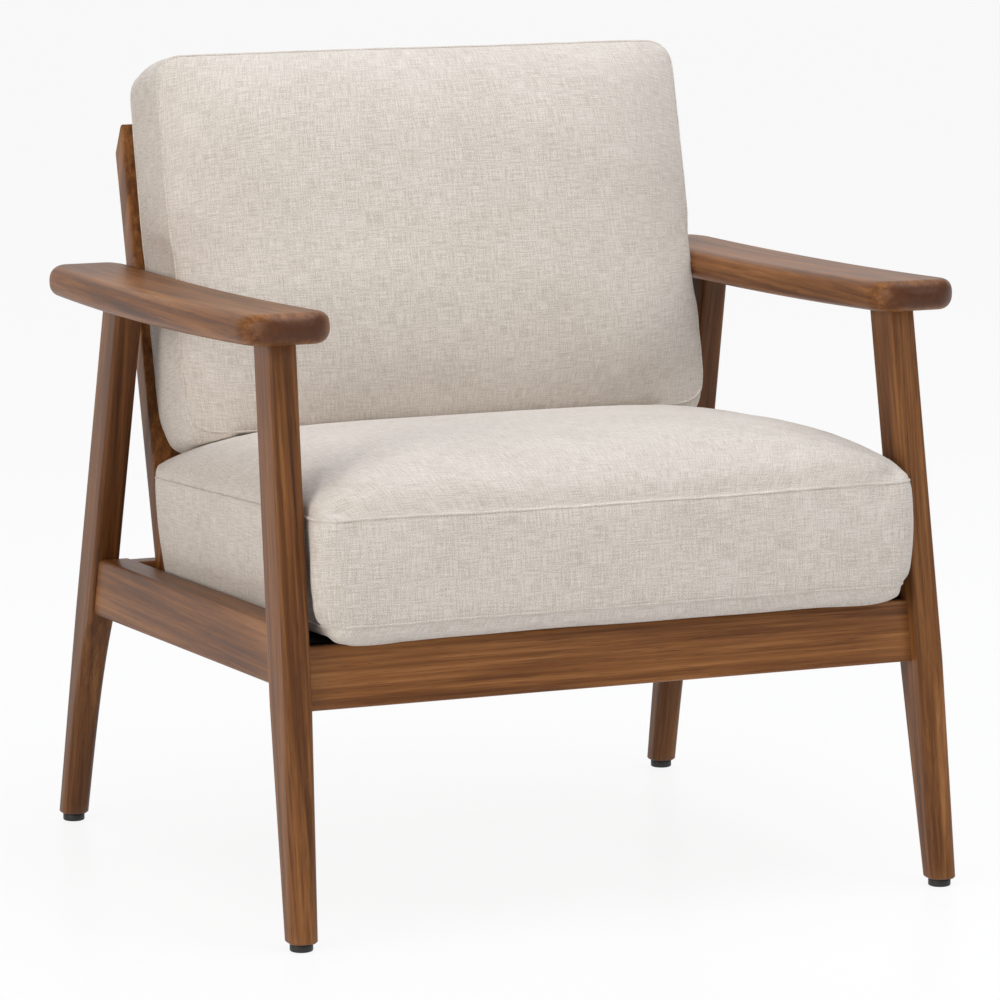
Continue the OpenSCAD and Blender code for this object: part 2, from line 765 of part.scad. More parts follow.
module corner_block(side) {
    color(plain_wood) on_right_and_left(side) difference() {
        intersection() {
            block_faces();
            translate([side_inner_x(0), 0, 0]) rotate([0, -leg_tilt, 0])
                translate([-foot_x, -foot_y, 0]) cube([foot_x, 2 * foot_y, 2 * shoulder_z]);
            translate([0, front_rail_y, front_rail_top]) rotate([-front_rake, 0, 0])
                translate([0, cross_rail_t, -2 * shoulder_z]) cube([foot_x, foot_y, 4 * shoulder_z]);
        }
        block_screw_front(glue_gap);
    }
}

// Screws that run forward through the block into the front rail
module block_screw_front(gap = 0) {
    screw_x = side_inner_x(block_z) - block_size + block_screw_in;
    translate([0, front_rail_y, front_rail_top]) rotate([-front_rake, 0, 0])
        translate([screw_x, cross_rail_t + block_screw_back,
                   block_z - front_rail_top + block_h / 2 + block_screw_rise])
        rotate([90, 0, 0]) wood_screw(block_screw_len, gap);
}

module block_screws() {
    color(steel) both_halves() block_screw_front();
}

// Deck frame: four battens that lap over each other at the corners
module deck_batten_side(side) {
    color(plain_wood) on_right_and_left(side) deck_space() difference() {
        deck_board(deck_half_w - batten_w, deck_half_w, deck_front, deck_end, batten_top, batten_t);
        for (v = [deck_front - through, deck_end - batten_w])
            translate([deck_half_w - batten_w - through, v, batten_top - lap])
                cube([batten_w + 2 * through, batten_w + through, lap + through]);
    }
}

module deck_batten_cross(v0) {
    color(plain_wood) deck_space() difference() {
        deck_board(-deck_half_w, deck_half_w, v0, v0 + batten_w, batten_top, batten_t);
        for (x = [-deck_half_w - through, deck_half_w - batten_w])
            translate([x, v0 - through, batten_top - batten_t - through])
                cube([batten_w + through, batten_w + 2 * through, batten_t - lap + through]);
    }
}

// Woven webbing: each strap is a thin wavy ribbon that passes over and under the others
strap_step = 8;
function strap_height(distance, span, phase) =
    abs(distance) > span ? 0 : strap_wave * cos(180 * distance / strap_pitch + 180 * phase);
function strap_outline(from, to, span, phase) = concat(
    [for (d = [from:(to - from) / round((to - from) / strap_step):to + 0.01])
        [d, strap_height(d, span, phase) + strap_t / 2]],
    [for (d = [to:-(to - from) / round((to - from) / strap_step):from - 0.01])
        [d, strap_height(d, span, phase) - strap_t / 2]]);

rows_span = strap_rows / 2 * strap_pitch;
columns_span = strap_columns / 2 * strap_pitch;
deck_mid_v = (deck_front + deck_end) / 2;

module webbing_lengthways() {
    reach = deck_len / 2 - strap_end;
    color(black) deck_space() for (i = [0:strap_columns - 1])
        translate([(i - (strap_columns - 1) / 2) * strap_pitch - strap_w / 2, deck_mid_v, strap_mid])
            rotate([90, 0, 90]) linear_extrude(strap_w)
            polygon(strap_outline(-reach, reach, rows_span, i + (strap_rows - 1) / 2));
}

module webbing_crossways() {
    reach = deck_half_w - strap_end;
    color(black) deck_space() for (j = [0:strap_rows - 1])
        translate([0, deck_mid_v + (j - (strap_rows - 1) / 2) * strap_pitch + strap_w / 2, strap_mid])
            rotate([90, 0, 0]) linear_extrude(strap_w)
            polygon(strap_outline(-reach, reach, columns_span, j + 1 + (strap_columns - 1) / 2));
}

module deck_cloth() {
    color(black) deck_space()
        deck_board(cloth_edge - deck_half_w, deck_half_w - cloth_edge,
                   deck_front + cloth_edge, deck_end - cloth_edge, -soft_gap, cloth_t);
}

// Cushion: rings from the middle of one panel, out over the band, to the middle of the other
function crown(share, power, fullness) = pow(1 - pow(min(1, abs(share)), power), fullness);
function crown_along(share, form) =
    share < 0 ? crown(share, form[0], form[1]) : crown(share, form[2], form[3]);
function cushion_ring(w, d, r, bow, rho, z, rise, form) = [
    for (p = rounded(w, d, r, corner_steps, side_steps) * rho)
        let (x = 2 * p[0] / w, y = 2 * p[1] / d, forward = y < 0 ? bow * y * (1 - x * x) : 0)
        [p[0], p[1] + forward, z + rise * crown(x, form[0], form[1]) * crown_along(y, form)]];
function cushion_shape(low_w, w, d, r, bow, band, low, low_form, high, high_form, swell) = concat(
    [for (rho = cushion_rings) cushion_ring(low_w, d, r, bow, rho, 0, -low, low_form)],
    [for (k = [0:0.25:1])
        let (out = 2 * swell * sin(180 * k))
        cushion_ring(low_w + (w - low_w) * k + out, d + out, r, bow, 1, band * k, 0, low_form)],
    [for (i = [len(cushion_rings) - 1:-1:0])
        cushion_ring(w, d, r, bow, cushion_rings[i], band, high, high_form)]);

module seat_cushion_shape(inset = 0) {
    loft(cushion_shape(seat_low_w - 2 * inset, seat_w - 2 * inset, seat_depth - 2 * inset,
                       seat_corner - inset, seat_bow, seat_band, seat_base_crown - inset,
                       seat_under_form, seat_crown - inset, seat_top_form, seat_bulge));
}

module back_cushion_shape(inset = 0) {
    loft(cushion_shape(back_w - 2 * inset, back_w - 2 * inset, back_h - 2 * inset, back_corner - inset, 0,
                       back_band, back_rear_crown - inset, back_rear_form, back_crown - inset,
                       back_face_form, back_bulge));
}

// The seat cushion lies on the deck plane
module seat_space() {
    deck_space() translate([0, seat_mid, seat_base_crown]) children();
}

// Height of the seat cushion's top at a distance y behind the middle of the chair
function seat_top_z(y) =
    let (v = (y - front_rail_y) / cos(deck_rake), share = (v - seat_mid) / (seat_depth / 2))
    front_rail_top + 2 * soft_gap - v * sin(deck_rake)
        + (seat_base_crown + seat_band + seat_crown * crown_along(share, seat_top_form)) * cos(deck_rake);

// The back cushion stands on the rear of the seat and leans on the slats
lean_gap = back_lean - cushion_lean;
back_foot_u = slat_back - slat_t - soft_gap + back_h / 4 * sin(lean_gap)
    - (back_band + back_rear_crown * crown_along(0.5, back_rear_form)) * cos(lean_gap);
function back_foot_y(z) =
    let (v = (z - rear_rail_top + back_foot_u * sin(back_lean)) / cos(back_lean)) lean_y(v, back_foot_u);
back_foot_guess = back_foot_y(seat_top_z(seat_mid / 2));
back_foot_z = seat_top_z(back_foot_guess) + soft_gap + back_rise;

module cushion_back_space() {
    translate([0, back_foot_y(back_foot_z), back_foot_z]) rotate([-cushion_lean, 0, 0]) children();
}

module back_panel_space() {
    cushion_back_space() translate([0, back_band, back_h / 2]) rotate([90, 0, 0]) children();
}

// Each cover is a fabric shell that is open along its zip
module seat_cover() {
    color(linen) difference() {
        seat_space() difference() {
            seat_cushion_shape();
            seat_cushion_shape(fabric_t);
        }
        seat_zip_space() zip_opening();
    }
}

module seat_foam() {
    color(foam_colour) seat_space() seat_cushion_shape(fabric_t + soft_gap);
}

module back_cover() {
    color(linen) difference() {
        back_panel_space() difference() {
            back_cushion_shape();
            back_cushion_shape(fabric_t);
        }
        back_zip_space() zip_opening();
    }
}

module back_foam() {
    color(foam_colour) back_panel_space() back_cushion_shape(fabric_t + soft_gap);
}

module zip_opening() {
    depth = fabric_t + 2 * through;
    translate([-zip_len / 2 + zip_slot_end, -zip_slot / 2, -depth])
        cube([zip_len - 2 * zip_slot_end, zip_slot, depth]);
}

// Zip: a flat tape with a raised row of teeth, and the slider that rides on the teeth
slider_start = zip_len / 2 - slider_end;

module zip_tape() {
    translate([-zip_len / 2, -zip_tape_w / 2, 0]) cube([zip_len, zip_tape_w, tape_t]);
    translate([-zip_len / 2 + teeth_end, -teeth_w / 2, tape_t])
        cube([zip_len - 2 * teeth_end, teeth_w, teeth_t]);
}

// Slider body that bridges the teeth, with its pull tab hanging from a small loop
module zip_slider() {
    leg_h = teeth_t + slider_gap;
    translate([-slider_w / 2, -slider_w / 2, tape_t + slider_gap]) difference() {
        cube([slider_w, slider_w, slider_t]);
        translate([-through, slider_w / 2 - teeth_w / 2 - slider_gap, -through])
            cube([slider_w + 2 * through, teeth_w + 2 * slider_gap, leg_h + through]);
    }
    translate([0, -tab_w / 2, tape_t + slider_gap + slider_t - tab_t])
        cube([tab_len + slider_w / 2, tab_w, tab_t]);
}

module seat_zip_space() {
    seat_space() translate([0, seat_depth / 2 + seat_bulge + tape_gap, seat_band / 2])
        rotate([-90, 0, 0]) children();
}

module back_zip_space() {
    cushion_back_space() translate([0, back_band / 2 + back_zip_shift, -back_bulge - tape_gap])
        rotate([180, 0, 0]) children();
}

module seat_zip() {
    color(linen) seat_zip_space() zip_tape();
}

module seat_zip_slider() {
    color(brass_colour) seat_zip_space() translate([-slider_start, 0, 0]) zip_slider();
}

module back_zip() {
    color(linen) back_zip_space() zip_tape();
}

module back_zip_slider() {
    color(brass_colour) back_zip_space() translate([-slider_start, 0, 0]) zip_slider();
}

module glide_screws() {
    color(steel) both_halves() for (front = [true, false]) at_foot(front) glide_screw();
}

module rail_dowels() {
    color(plain_wood) both_halves() half_rail_dowels();
}

module arm_dowels() {
    color(plain_wood) both_halves() half_arm_dowels();
}

module arm_screws() {
    color(steel) both_halves() arm_screw();
}

leg(-1, true);  // front_leg_left
leg(1, true);  // front_leg_right
leg(-1, false);  // rear_leg_left
leg(1, false);  // rear_leg_right
arm(-1);  // arm_left
arm(1);  // arm_right
side_rail(-1);  // side_rail_left
side_rail(1);  // side_rail_right
front_rail();
rear_rail();
back_stile(-1);  // back_stile_left
back_stile(1);  // back_stile_right
crest_rail();
back_slat(1);  // back_slat_1
back_slat(2);  // back_slat_2
back_slat(3);  // back_slat_3
back_slat(4);  // back_slat_4
corner_block(-1);  // corner_block_left
corner_block(1);  // corner_block_right
side_cleat(-1);  // side_cleat_left
side_cleat(1);  // side_cleat_right
front_cleat();
rear_cleat();
deck_batten_side(-1);  // deck_batten_left
deck_batten_side(1);  // deck_batten_right
deck_batten_cross(deck_front);  // deck_batten_front
deck_batten_cross(deck_end - batten_w);  // deck_batten_rear
webbing_lengthways();
webbing_crossways();
deck_cloth();
glide(-1, true);  // glide_front_left
glide(1, true);  // glide_front_right
glide(-1, false);  // glide_rear_left
glide(1, false);  // glide_rear_right
glide_screws();
rail_dowels();
arm_dowels();
arm_screws();
back_bolts();
back_washers();
insert_nuts();
cleat_screws();
block_screws();
seat_cover();
seat_foam();
seat_zip();
seat_zip_slider();
back_cover();
back_foam();
back_zip();
back_zip_slider();
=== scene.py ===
import math
import bmesh
import bpy
from mathutils import Matrix, Vector
from mathutils.bvhtree import BVHTree


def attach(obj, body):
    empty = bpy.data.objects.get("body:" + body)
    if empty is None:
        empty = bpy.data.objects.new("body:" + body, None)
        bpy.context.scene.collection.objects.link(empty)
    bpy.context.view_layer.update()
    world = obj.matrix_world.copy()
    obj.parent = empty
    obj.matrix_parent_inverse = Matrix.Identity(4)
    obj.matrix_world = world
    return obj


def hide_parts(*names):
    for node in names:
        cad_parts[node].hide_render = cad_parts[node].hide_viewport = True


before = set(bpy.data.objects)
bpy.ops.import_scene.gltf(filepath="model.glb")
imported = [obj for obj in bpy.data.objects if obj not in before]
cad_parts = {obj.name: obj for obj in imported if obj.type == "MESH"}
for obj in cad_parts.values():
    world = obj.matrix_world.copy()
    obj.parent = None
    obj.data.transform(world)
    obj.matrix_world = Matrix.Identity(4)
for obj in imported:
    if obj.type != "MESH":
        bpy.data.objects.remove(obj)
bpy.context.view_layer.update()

# The chair is seen a little from its right-hand side and from just above the arms,
# through a long lens, so that its edges stay nearly parallel.
MM = 0.001
SIDE_ANGLE = math.radians(-23.96)
HEIGHT_ANGLE = math.radians(8.89)
LENS_DISTANCE = 5.4287
LOOK_AT = Vector((0.00366, -0.00385, 0.35664))
FOCAL_LENGTH = 197.14

eye_direction = Vector((math.sin(SIDE_ANGLE) * math.cos(HEIGHT_ANGLE),
                        -math.cos(SIDE_ANGLE) * math.cos(HEIGHT_ANGLE),
                        math.sin(HEIGHT_ANGLE)))
camera_data = bpy.data.cameras.new("chair_camera")
camera_data.lens = FOCAL_LENGTH
camera_data.sensor_width = 36.0
camera_data.clip_end = 100.0
camera = bpy.data.objects.new("chair_camera", camera_data)
camera.location = LOOK_AT + eye_direction * LENS_DISTANCE
camera.rotation_euler = (-eye_direction).to_track_quat("-Z", "Y").to_euler()
bpy.context.scene.collection.objects.link(camera)
bpy.context.scene.camera = camera

# The studio: a white paper sweep so wide that every camera round the chair stands on it, one
# broad cool softbox overhead, a key from the front right and a warm fill from the left.
PAPER_GLOW = 0.88
ROOM_LIGHT = 0.38


def new_material(name):
    material = bpy.data.materials.new(name)
    material.use_nodes = True
    nodes = material.node_tree.nodes
    return material, nodes, material.node_tree.links, nodes["Principled BSDF"]


def add_node(nodes, kind, **inputs):
    """Adds a shader node. Each input is given its value, or the socket that feeds it."""
    node = nodes.new(kind)
    for key, value in inputs.items():
        if key not in node.inputs:
            setattr(node, key, value)
        elif hasattr(value, "links"):
            node.id_data.links.new(value, node.inputs[key])
        else:
            node.inputs[key].default_value = value
    return node


def calculate(nodes, operation, *values):
    """Arithmetic on numbers and sockets in a shader."""
    node = add_node(nodes, "ShaderNodeMath", operation=operation)
    for socket, value in zip(node.inputs, values):
        if hasattr(value, "links"):
            node.id_data.links.new(value, socket)
        else:
            socket.default_value = value
    return node.outputs[0]


def mesh_object(name, points, faces, smooth=True):
    mesh = bpy.data.meshes.new(name)
    mesh.from_pydata(points, [], faces)
    mesh.validate()
    mesh.update()
    if smooth:
        mesh.polygons.foreach_set("use_smooth", [True] * len(mesh.polygons))
    made = bpy.data.objects.new(name, mesh)
    bpy.context.scene.collection.objects.link(made)
    return made


def paper_sweep():
    half_width = 36.0
    front_edge = -28.0
    bend_start = 12.0
    bend_radius = 6.0
    height = 24.0
    profile = [(front_edge, 0.0), (bend_start, 0.0)]
    profile += [(bend_start + bend_radius * math.sin(a), bend_radius * (1 - math.cos(a)))
                for a in [math.radians(step) for step in range(6, 91, 6)]]
    profile.append((bend_start + bend_radius, height))
    points = [(x, y, z) for y, z in profile for x in (-half_width, half_width)]
    faces = [(2 * i, 2 * i + 1, 2 * i + 3, 2 * i + 2) for i in range(len(profile) - 1)]
    sweep = mesh_object("paper_sweep", points, faces)
    material, nodes, links, surface = new_material("white_paper")
    surface.inputs["Base Color"].default_value = (0.93, 0.93, 0.93, 1)
    surface.inputs["Roughness"].default_value = 0.32
    surface.inputs["Specular IOR Level"].default_value = 0.35
    white = add_node(nodes, "ShaderNodeEmission", Color=(1, 1, 1, 1), Strength=1.0)
    path = nodes.new("ShaderNodeLightPath")
    seen = calculate(nodes, "MAXIMUM", path.outputs["Is Camera Ray"], path.outputs["Is Glossy Ray"])
    mix = nodes.new("ShaderNodeMixShader")
    links.new(calculate(nodes, "MULTIPLY", seen, PAPER_GLOW), mix.inputs[0])
    links.new(surface.outputs[0], mix.inputs[1])
    links.new(white.outputs[0], mix.inputs[2])
    links.new(mix.outputs[0], nodes["Material Output"].inputs["Surface"])
    sweep.data.materials.append(material)


def softbox(name, place, aim, size, power, tint=(1, 1, 1)):
    data = bpy.data.lights.new(name, "AREA")
    data.shape = "RECTANGLE"
    data.size, data.size_y = size
    data.energy = power
    data.color = tint
    lamp = bpy.data.objects.new(name, data)
    lamp.location = place
    lamp.rotation_euler = (Vector(aim) - Vector(place)).to_track_quat("-Z", "Y").to_euler()
    bpy.context.scene.collection.objects.link(lamp)


paper_sweep()
softbox("overhead_softbox", (0.3, -0.4, 3.2), (0, 0, 0.3), (3.2, 2.6), 68, (0.95, 1.0, 1.07))
softbox("key_softbox", (2.1, -3.2, 2.2), (0, 0, 0.4), (1.8, 1.8), 25, (1.0, 0.98, 0.955))
softbox("fill_softbox", (-3.5, -1.5, 1.5), (0, 0, 0.4), (2.2, 2.0), 58, (1.0, 0.935, 0.865))

world = bpy.data.worlds.new("studio_world")
world.use_nodes = True
world_nodes = world.node_tree.nodes
world_links = world.node_tree.links
room = world_nodes["Background"]
room.inputs["Color"].default_value = (1, 1, 1, 1)
room.inputs["Strength"].default_value = ROOM_LIGHT
seen_white = add_node(world_nodes, "ShaderNodeBackground", Color=(1, 1, 1, 1), Strength=1.0)
world_path = world_nodes.new("ShaderNodeLightPath")
world_mix = world_nodes.new("ShaderNodeMixShader")
world_links.new(world_path.outputs["Is Camera Ray"], world_mix.inputs[0])
world_links.new(room.outputs[0], world_mix.inputs[1])
world_links.new(seen_white.outputs[0], world_mix.inputs[2])
world_links.new(world_mix.outputs[0], world_nodes["World Output"].inputs["Surface"])
bpy.context.scene.world = world
bpy.context.scene.view_settings.view_transform = "Standard"

# The four legs: solid walnut-stained hardwood, 28 by 44 mm above the seat rails, planed
# with a soft arris and drawn down below the rails to a rounder foot. They lean inwards
# and back or forward, and their tops are housed in the arms.
FOOT_X = 335.0
FOOT_Y = 313.0
LEG_W = 28.0
LEG_D = 44.0
FRONT_FOOT_D = 30.0
REAR_FOOT_D = 28.0
LEG_TILT = math.radians(1.29)
FRONT_RAKE = math.radians(9.2)
REAR_RAKE = math.radians(12.8)
SHOULDER_Z = 222.0
GLIDE_H = 8.0
FRONT_LEG_TOP = 560.0
REAR_LEG_TOP = 551.0
LEG_ARRIS = 5.0
FOOT_ARRIS = 11.0


def leg_x(z):
    return FOOT_X - math.tan(LEG_TILT) * z


def taper(z):
    return min(1.0, (z - GLIDE_H) / (SHOULDER_Z - GLIDE_H))


def front_mid(z):
    return math.tan(FRONT_RAKE) * (z - GLIDE_H) - FOOT_Y


def front_depth(z):
    return FRONT_FOOT_D + (LEG_D - FRONT_FOOT_D) * taper(z)


def rear_back(z):
    return FOOT_Y + FRONT_FOOT_D / 2 - math.tan(REAR_RAKE) * (z - GLIDE_H)


def rear_depth(z):
    return REAR_FOOT_D + (LEG_D - REAR_FOOT_D) * taper(z) ** 3.5


def rear_mid(z):
    return rear_back(z) - rear_depth(z) / 2


def rounded_outline(width, depth, radius, steps=8):
    outline = []
    for corner, (sx, sy) in enumerate(((1, 1), (-1, 1), (-1, -1), (1, -1))):
        for k in range(steps + 1):
            a = math.radians(90 * (corner + k / steps))
            outline.append((sx * (width / 2 - radius) + radius * math.cos(a),
                            sy * (depth / 2 - radius) + radius * math.sin(a)))
    return outline


def skin(name, rings, smooth=True):
    """Closed skin over rings of points in millimetres, with a point in the middle of each end."""
    count = len(rings[0])
    points = [Vector(p) * MM for ring in rings for p in ring]
    for ring in (rings[0], rings[-1]):
        points.append(sum((Vector(p) for p in ring), Vector()) * MM / count)
    faces = []
    for j in range(len(rings) - 1):
        for i in range(count):
            a, b = j * count + i, j * count + (i + 1) % count
            faces.append((a, b, b + count, a + count))
    first, last = len(points) - 2, len(points) - 1
    top = (len(rings) - 1) * count
    for i in range(count):
        b = (i + 1) % count
        faces.append((b, i, first))
        faces.append((top + i, top + b, last))
    return mesh_object(name, points, faces, smooth)


def crisp(piece, angle=38):
    """Smooth shading that stays sharp where the surface turns by more than the angle."""
    mesh = piece.data
    bm = bmesh.new()
    bm.from_mesh(mesh)
    bmesh.ops.recalc_face_normals(bm, faces=bm.faces)
    for edge in bm.edges:
        edge.smooth = len(edge.link_faces) == 2 and edge.calc_face_angle(0) < math.radians(angle)
    bm.to_mesh(mesh)
    bm.free()
    return piece


def remap(nodes, value, start, end, low, high, **options):
    """Maps the range of a value from start to end onto the range from low to high."""
    node = add_node(nodes, "ShaderNodeMapRange", Value=value, **options)
    for socket, number in zip(node.inputs[1:5], (start, end, low, high)):
        socket.default_value = number
    return node.outputs[0]


def colour_ramp(nodes, value, stops):
    """Looks up a colour by a value, among (place, colour) stops."""
    ramp = nodes.new("ShaderNodeValToRGB")
    elements = ramp.color_ramp.elements
    elements[0].position, elements[1].position = stops[0][0], stops[-1][0]
    for place, _ in stops[1:-1]:
        elements.new(place)
    for element, (_, colour) in zip(elements, stops):
        element.color = (*colour, 1)
    ramp.id_data.links.new(value, ramp.inputs[0])
    return ramp.outputs[0]


def overlay(nodes, share, under, colour, blend_type="MIX"):
    """Lays a plain colour over another colour, by a share."""
    node = add_node(nodes, "ShaderNodeMix", data_type="RGBA", blend_type=blend_type)
    node.id_data.links.new(share, node.inputs[0])
    node.id_data.links.new(under, node.inputs[6])
    node.inputs[7].default_value = (*colour, 1)
    return node.outputs[2]


WALNUT_TONES = [(0.24, (0.066, 0.022, 0.006)), (0.42, (0.145, 0.051, 0.013)),
                (0.56, (0.232, 0.090, 0.025)), (0.74, (0.350, 0.152, 0.050))]
PORE_TONE = (0.55, 0.50, 0.48)
WORN_EDGE_TONE = (0.42, 0.20, 0.09)
END_GRAIN_TONE = (0.072, 0.023, 0.010)


def walnut(name, along, turn=0.0, painted_light_scale=1.0, seed=0.0):
    """Walnut-stained wood with its grain along an axis, which may be turned about X. Its tones are scaled
    per part, which paints light and shadow into the stain.
    """
    material, nodes, links, surface = new_material(name)
    coord = nodes.new("ShaderNodeTexCoord")
    turned_space = add_node(nodes, "ShaderNodeMapping", Vector=coord.outputs["Object"],
                            Rotation=(turn, 0, 0), Location=(seed, seed * 1.7, -seed))
    split = add_node(nodes, "ShaderNodeSeparateXYZ", Vector=turned_space.outputs[0])
    order = {"X": "YZX", "Y": "ZXY", "Z": "XYZ"}[along]
    grain_space = add_node(nodes, "ShaderNodeCombineXYZ",
                           **{slot: split.outputs[axis] for slot, axis in zip("XYZ", order)})

    def figure(across, lengthways, detail, roughness, distortion=0.0):
        stretch = add_node(nodes, "ShaderNodeMapping", Vector=grain_space.outputs[0],
                           Scale=(across, across, lengthways))
        noise = add_node(nodes, "ShaderNodeTexNoise", Vector=stretch.outputs[0], Scale=1.0, Detail=detail,
                         Roughness=roughness, Distortion=distortion)
        return noise.outputs["Fac"]

    broad = figure(26, 2.0, 3, 0.5, 0.6)
    streaks = figure(190, 4.5, 5, 0.62, 0.25)
    fine = figure(760, 12.0, 3, 0.6)
    rings = figure(62, 1.3, 2, 0.4, 1.2)
    total = calculate(nodes, "MULTIPLY_ADD", broad, 0.62, -0.52)
    for part, share in ((streaks, 0.78), (rings, 0.36), (fine, 0.26)):
        total = calculate(nodes, "MULTIPLY_ADD", part, share, total)
    # Painted light and shadow: the tones are scaled per part, lighter for some parts and darker for others,
    # so one stain stands in for lit and shadowed wood.
    tones = [(place, [c * painted_light_scale for c in colour]) for place, colour in WALNUT_TONES]
    stain = colour_ramp(nodes, total, tones)
    pores = remap(nodes, figure(1150, 34, 2, 0.5), 0.60, 0.72, 0.0, 1.0)
    porous = overlay(nodes, pores, stain, PORE_TONE, "MULTIPLY")
    shape = nodes.new("ShaderNodeNewGeometry")
    wear = remap(nodes, shape.outputs["Pointiness"], 0.52, 0.62, 0.0, 0.35)
    worn = overlay(nodes, wear, porous, [c * painted_light_scale for c in WORN_EDGE_TONE])
    facing = add_node(nodes, "ShaderNodeSeparateXYZ", Vector=coord.outputs["Normal"])
    endways = calculate(nodes, "ABSOLUTE", facing.outputs[along])
    end_share = remap(nodes, endways, 0.40, 0.95, 0.0, 0.88, interpolation_type="SMOOTHSTEP")
    links.new(overlay(nodes, end_share, worn, END_GRAIN_TONE), surface.inputs["Base Color"])
    links.new(remap(nodes, streaks, 0.0, 1.0, 0.34, 0.50), surface.inputs["Roughness"])
    surface.inputs["Specular IOR Level"].default_value = 0.22
    surface.inputs["Coat Weight"].default_value = 0.05
    surface.inputs["Coat Roughness"].default_value = 0.25
    relief = add_node(nodes, "ShaderNodeBump", Strength=0.22, Distance=0.0004,
                      Height=calculate(nodes, "MULTIPLY_ADD", pores, -0.8, fine))
    links.new(relief.outputs[0], surface.inputs["Normal"])
    return material


def dress(piece, material, body, slot, *nodes):
    """Gives a piece its material and body, and hides the CAD nodes that it replaces. The slot is not used.
    """
    piece.data.materials.append(material)
    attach(piece, body)
    if nodes:
        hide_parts(*nodes)
    return piece


def place_wood(piece, material, *nodes):
    return dress(crisp(piece), material, "frame", "walnut_frame", *nodes)


def leg(side, front):
    top = FRONT_LEG_TOP if front else REAR_LEG_TOP
    chamfer = 1.6
    heights = [GLIDE_H] + [GLIDE_H + chamfer + (SHOULDER_Z - GLIDE_H - chamfer) * k / 24 for k in range(25)]
    heights += [SHOULDER_Z + (top - SHOULDER_Z) * k / 14 for k in range(1, 15)]
    rings = []
    for index, z in enumerate(heights):
        depth = front_depth(z) if front else rear_depth(z)
        middle = front_mid(z) if front else rear_mid(z)
        radius = FOOT_ARRIS + (LEG_ARRIS - FOOT_ARRIS) * taper(z)
        draw = chamfer if index == 0 else 0
        outline = rounded_outline(LEG_W - 2 * draw, depth - 2 * draw, radius - draw)
        rings.append([(side * (leg_x(z) + x), middle + y, z) for x, y in outline])
    end = "front" if front else "rear"
    hand = "left" if side < 0 else "right"
    piece = skin(f"walnut_{end}_leg_{hand}", rings)
    grain = front_leg_grain if front else rear_leg_grain
    place_wood(piece, grain, f"{end}_leg_{hand}")


# Painted light and shadow: the front legs get the stain at 0.90 and the rear legs a darker copy at 0.76.
front_leg_grain = walnut("walnut_front_legs", "Z", FRONT_RAKE, 0.90, 0.3)
rear_leg_grain = walnut("walnut_rear_legs", "Z", -REAR_RAKE, 0.76, 1.1)
for side in (-1, 1):
    leg(side, True)
    leg(side, False)

# The two paddle arms: solid boards 30 mm thick with a bullnose all round, shaped in plan
# with round corners and a bowed outer edge, dipping slightly and falling to the back.
# They are dowelled to the legs and screwed to the stiles.
ARM_T = 30.0
ARM_FRONT = 285.0
ARM_REAR = 296.0
ARM_CORNER = 36.0
ARM_BOW = 5.0
ARM_SPREAD = 2.0
ARM_EDGE_POWER = 2.4
ARM_IN_X = 282.0
ARM_FRONT_Z = 575.0
ARM_REAR_Z = 563.5
ARM_DIP = 4.4
OVERALL_W = 750.0


def arm_share(y):
    return (y + ARM_FRONT) / (ARM_FRONT + ARM_REAR)


def arm_middle(y):
    s = arm_share(y)
    return ARM_FRONT_Z + (ARM_REAR_Z - ARM_FRONT_Z) * s - ARM_DIP * 4 * s * (1 - s)


def arm_section(y):
    s = arm_share(y)
    bulge = 4 * s * (1 - s)
    reach = max(0.05, min(y + ARM_FRONT, ARM_REAR - y))
    half = ARM_T / 2
    t = math.sqrt(half ** 2 - (half - reach) ** 2) if reach < half else half
    cut = ARM_CORNER - math.sqrt(ARM_CORNER ** 2 - (ARM_CORNER - reach) ** 2) if reach < ARM_CORNER else 0.0
    inner = ARM_IN_X - ARM_SPREAD * (1 - s) + cut + t
    outer = OVERALL_W / 2 - ARM_BOW * (1 - bulge) - cut - t
    power = 2 / ARM_EDGE_POWER
    ring = []
    for way, edge in ((-1, inner), (1, outer)):
        for k in range(25):
            a = math.radians(-90 + 7.5 * k)
            across = abs(math.cos(a)) ** power * t
            up = math.copysign(abs(math.sin(a)) ** power, math.sin(a)) * t * -way
            ring.append((edge + way * across, y, arm_middle(y) + up))
    return ring


def arm(side):
    ends = [ARM_CORNER * (1 - math.cos(math.radians(a))) for a in range(0, 91, 5)]
    span = ARM_FRONT + ARM_REAR - 2 * ARM_CORNER
    stations = [-ARM_FRONT + e for e in ends]
    stations += [-ARM_FRONT + ARM_CORNER + span * k / 30 for k in range(1, 30)]
    stations += [ARM_REAR - e for e in reversed(ends)]
    rings = [[(side * x, y, z) for x, y, z in arm_section(y)] for y in stations]
    hand = "left" if side < 0 else "right"
    piece = skin(f"walnut_arm_{hand}", rings)
    place_wood(piece, arm_grain, f"arm_{hand}")
    crisp(piece, 70)


arm_grain = walnut("walnut_arms", "Y", 0.0, 1.0, 2.3)
for side in (-1, 1):
    arm(side)

# The seat rails: side rails 34 by 58 mm that rise to the front and are dowelled to the
# faces of the legs, a raked front rail between the front legs, and an upright rear rail
# between the side rails.
SIDE_RAIL_H = 58.0
SIDE_RAIL_T = 34.0
SIDE_OUT = LEG_W / 2 - 5.0
SIDE_TOP_FRONT = 297.0
SIDE_TOP_REAR = 285.0
FRONT_RAIL_TOP = 278.0
FRONT_RAIL_H = 60.0
CROSS_RAIL_T = 22.0
REAR_RAIL_TOP = 283.0
REAR_RAIL_H = 60.0
REAR_RAIL_Y = 206.0
FRONT_RAIL_SET = 15.0
SIDE_RAIL_ARRIS = 4.5
CROSS_RAIL_ARRIS = 3.0


def front_joint_y(z):
    return front_mid(z) + LEG_D / 2


def rear_joint_y(z):
    return rear_back(z) - LEG_D


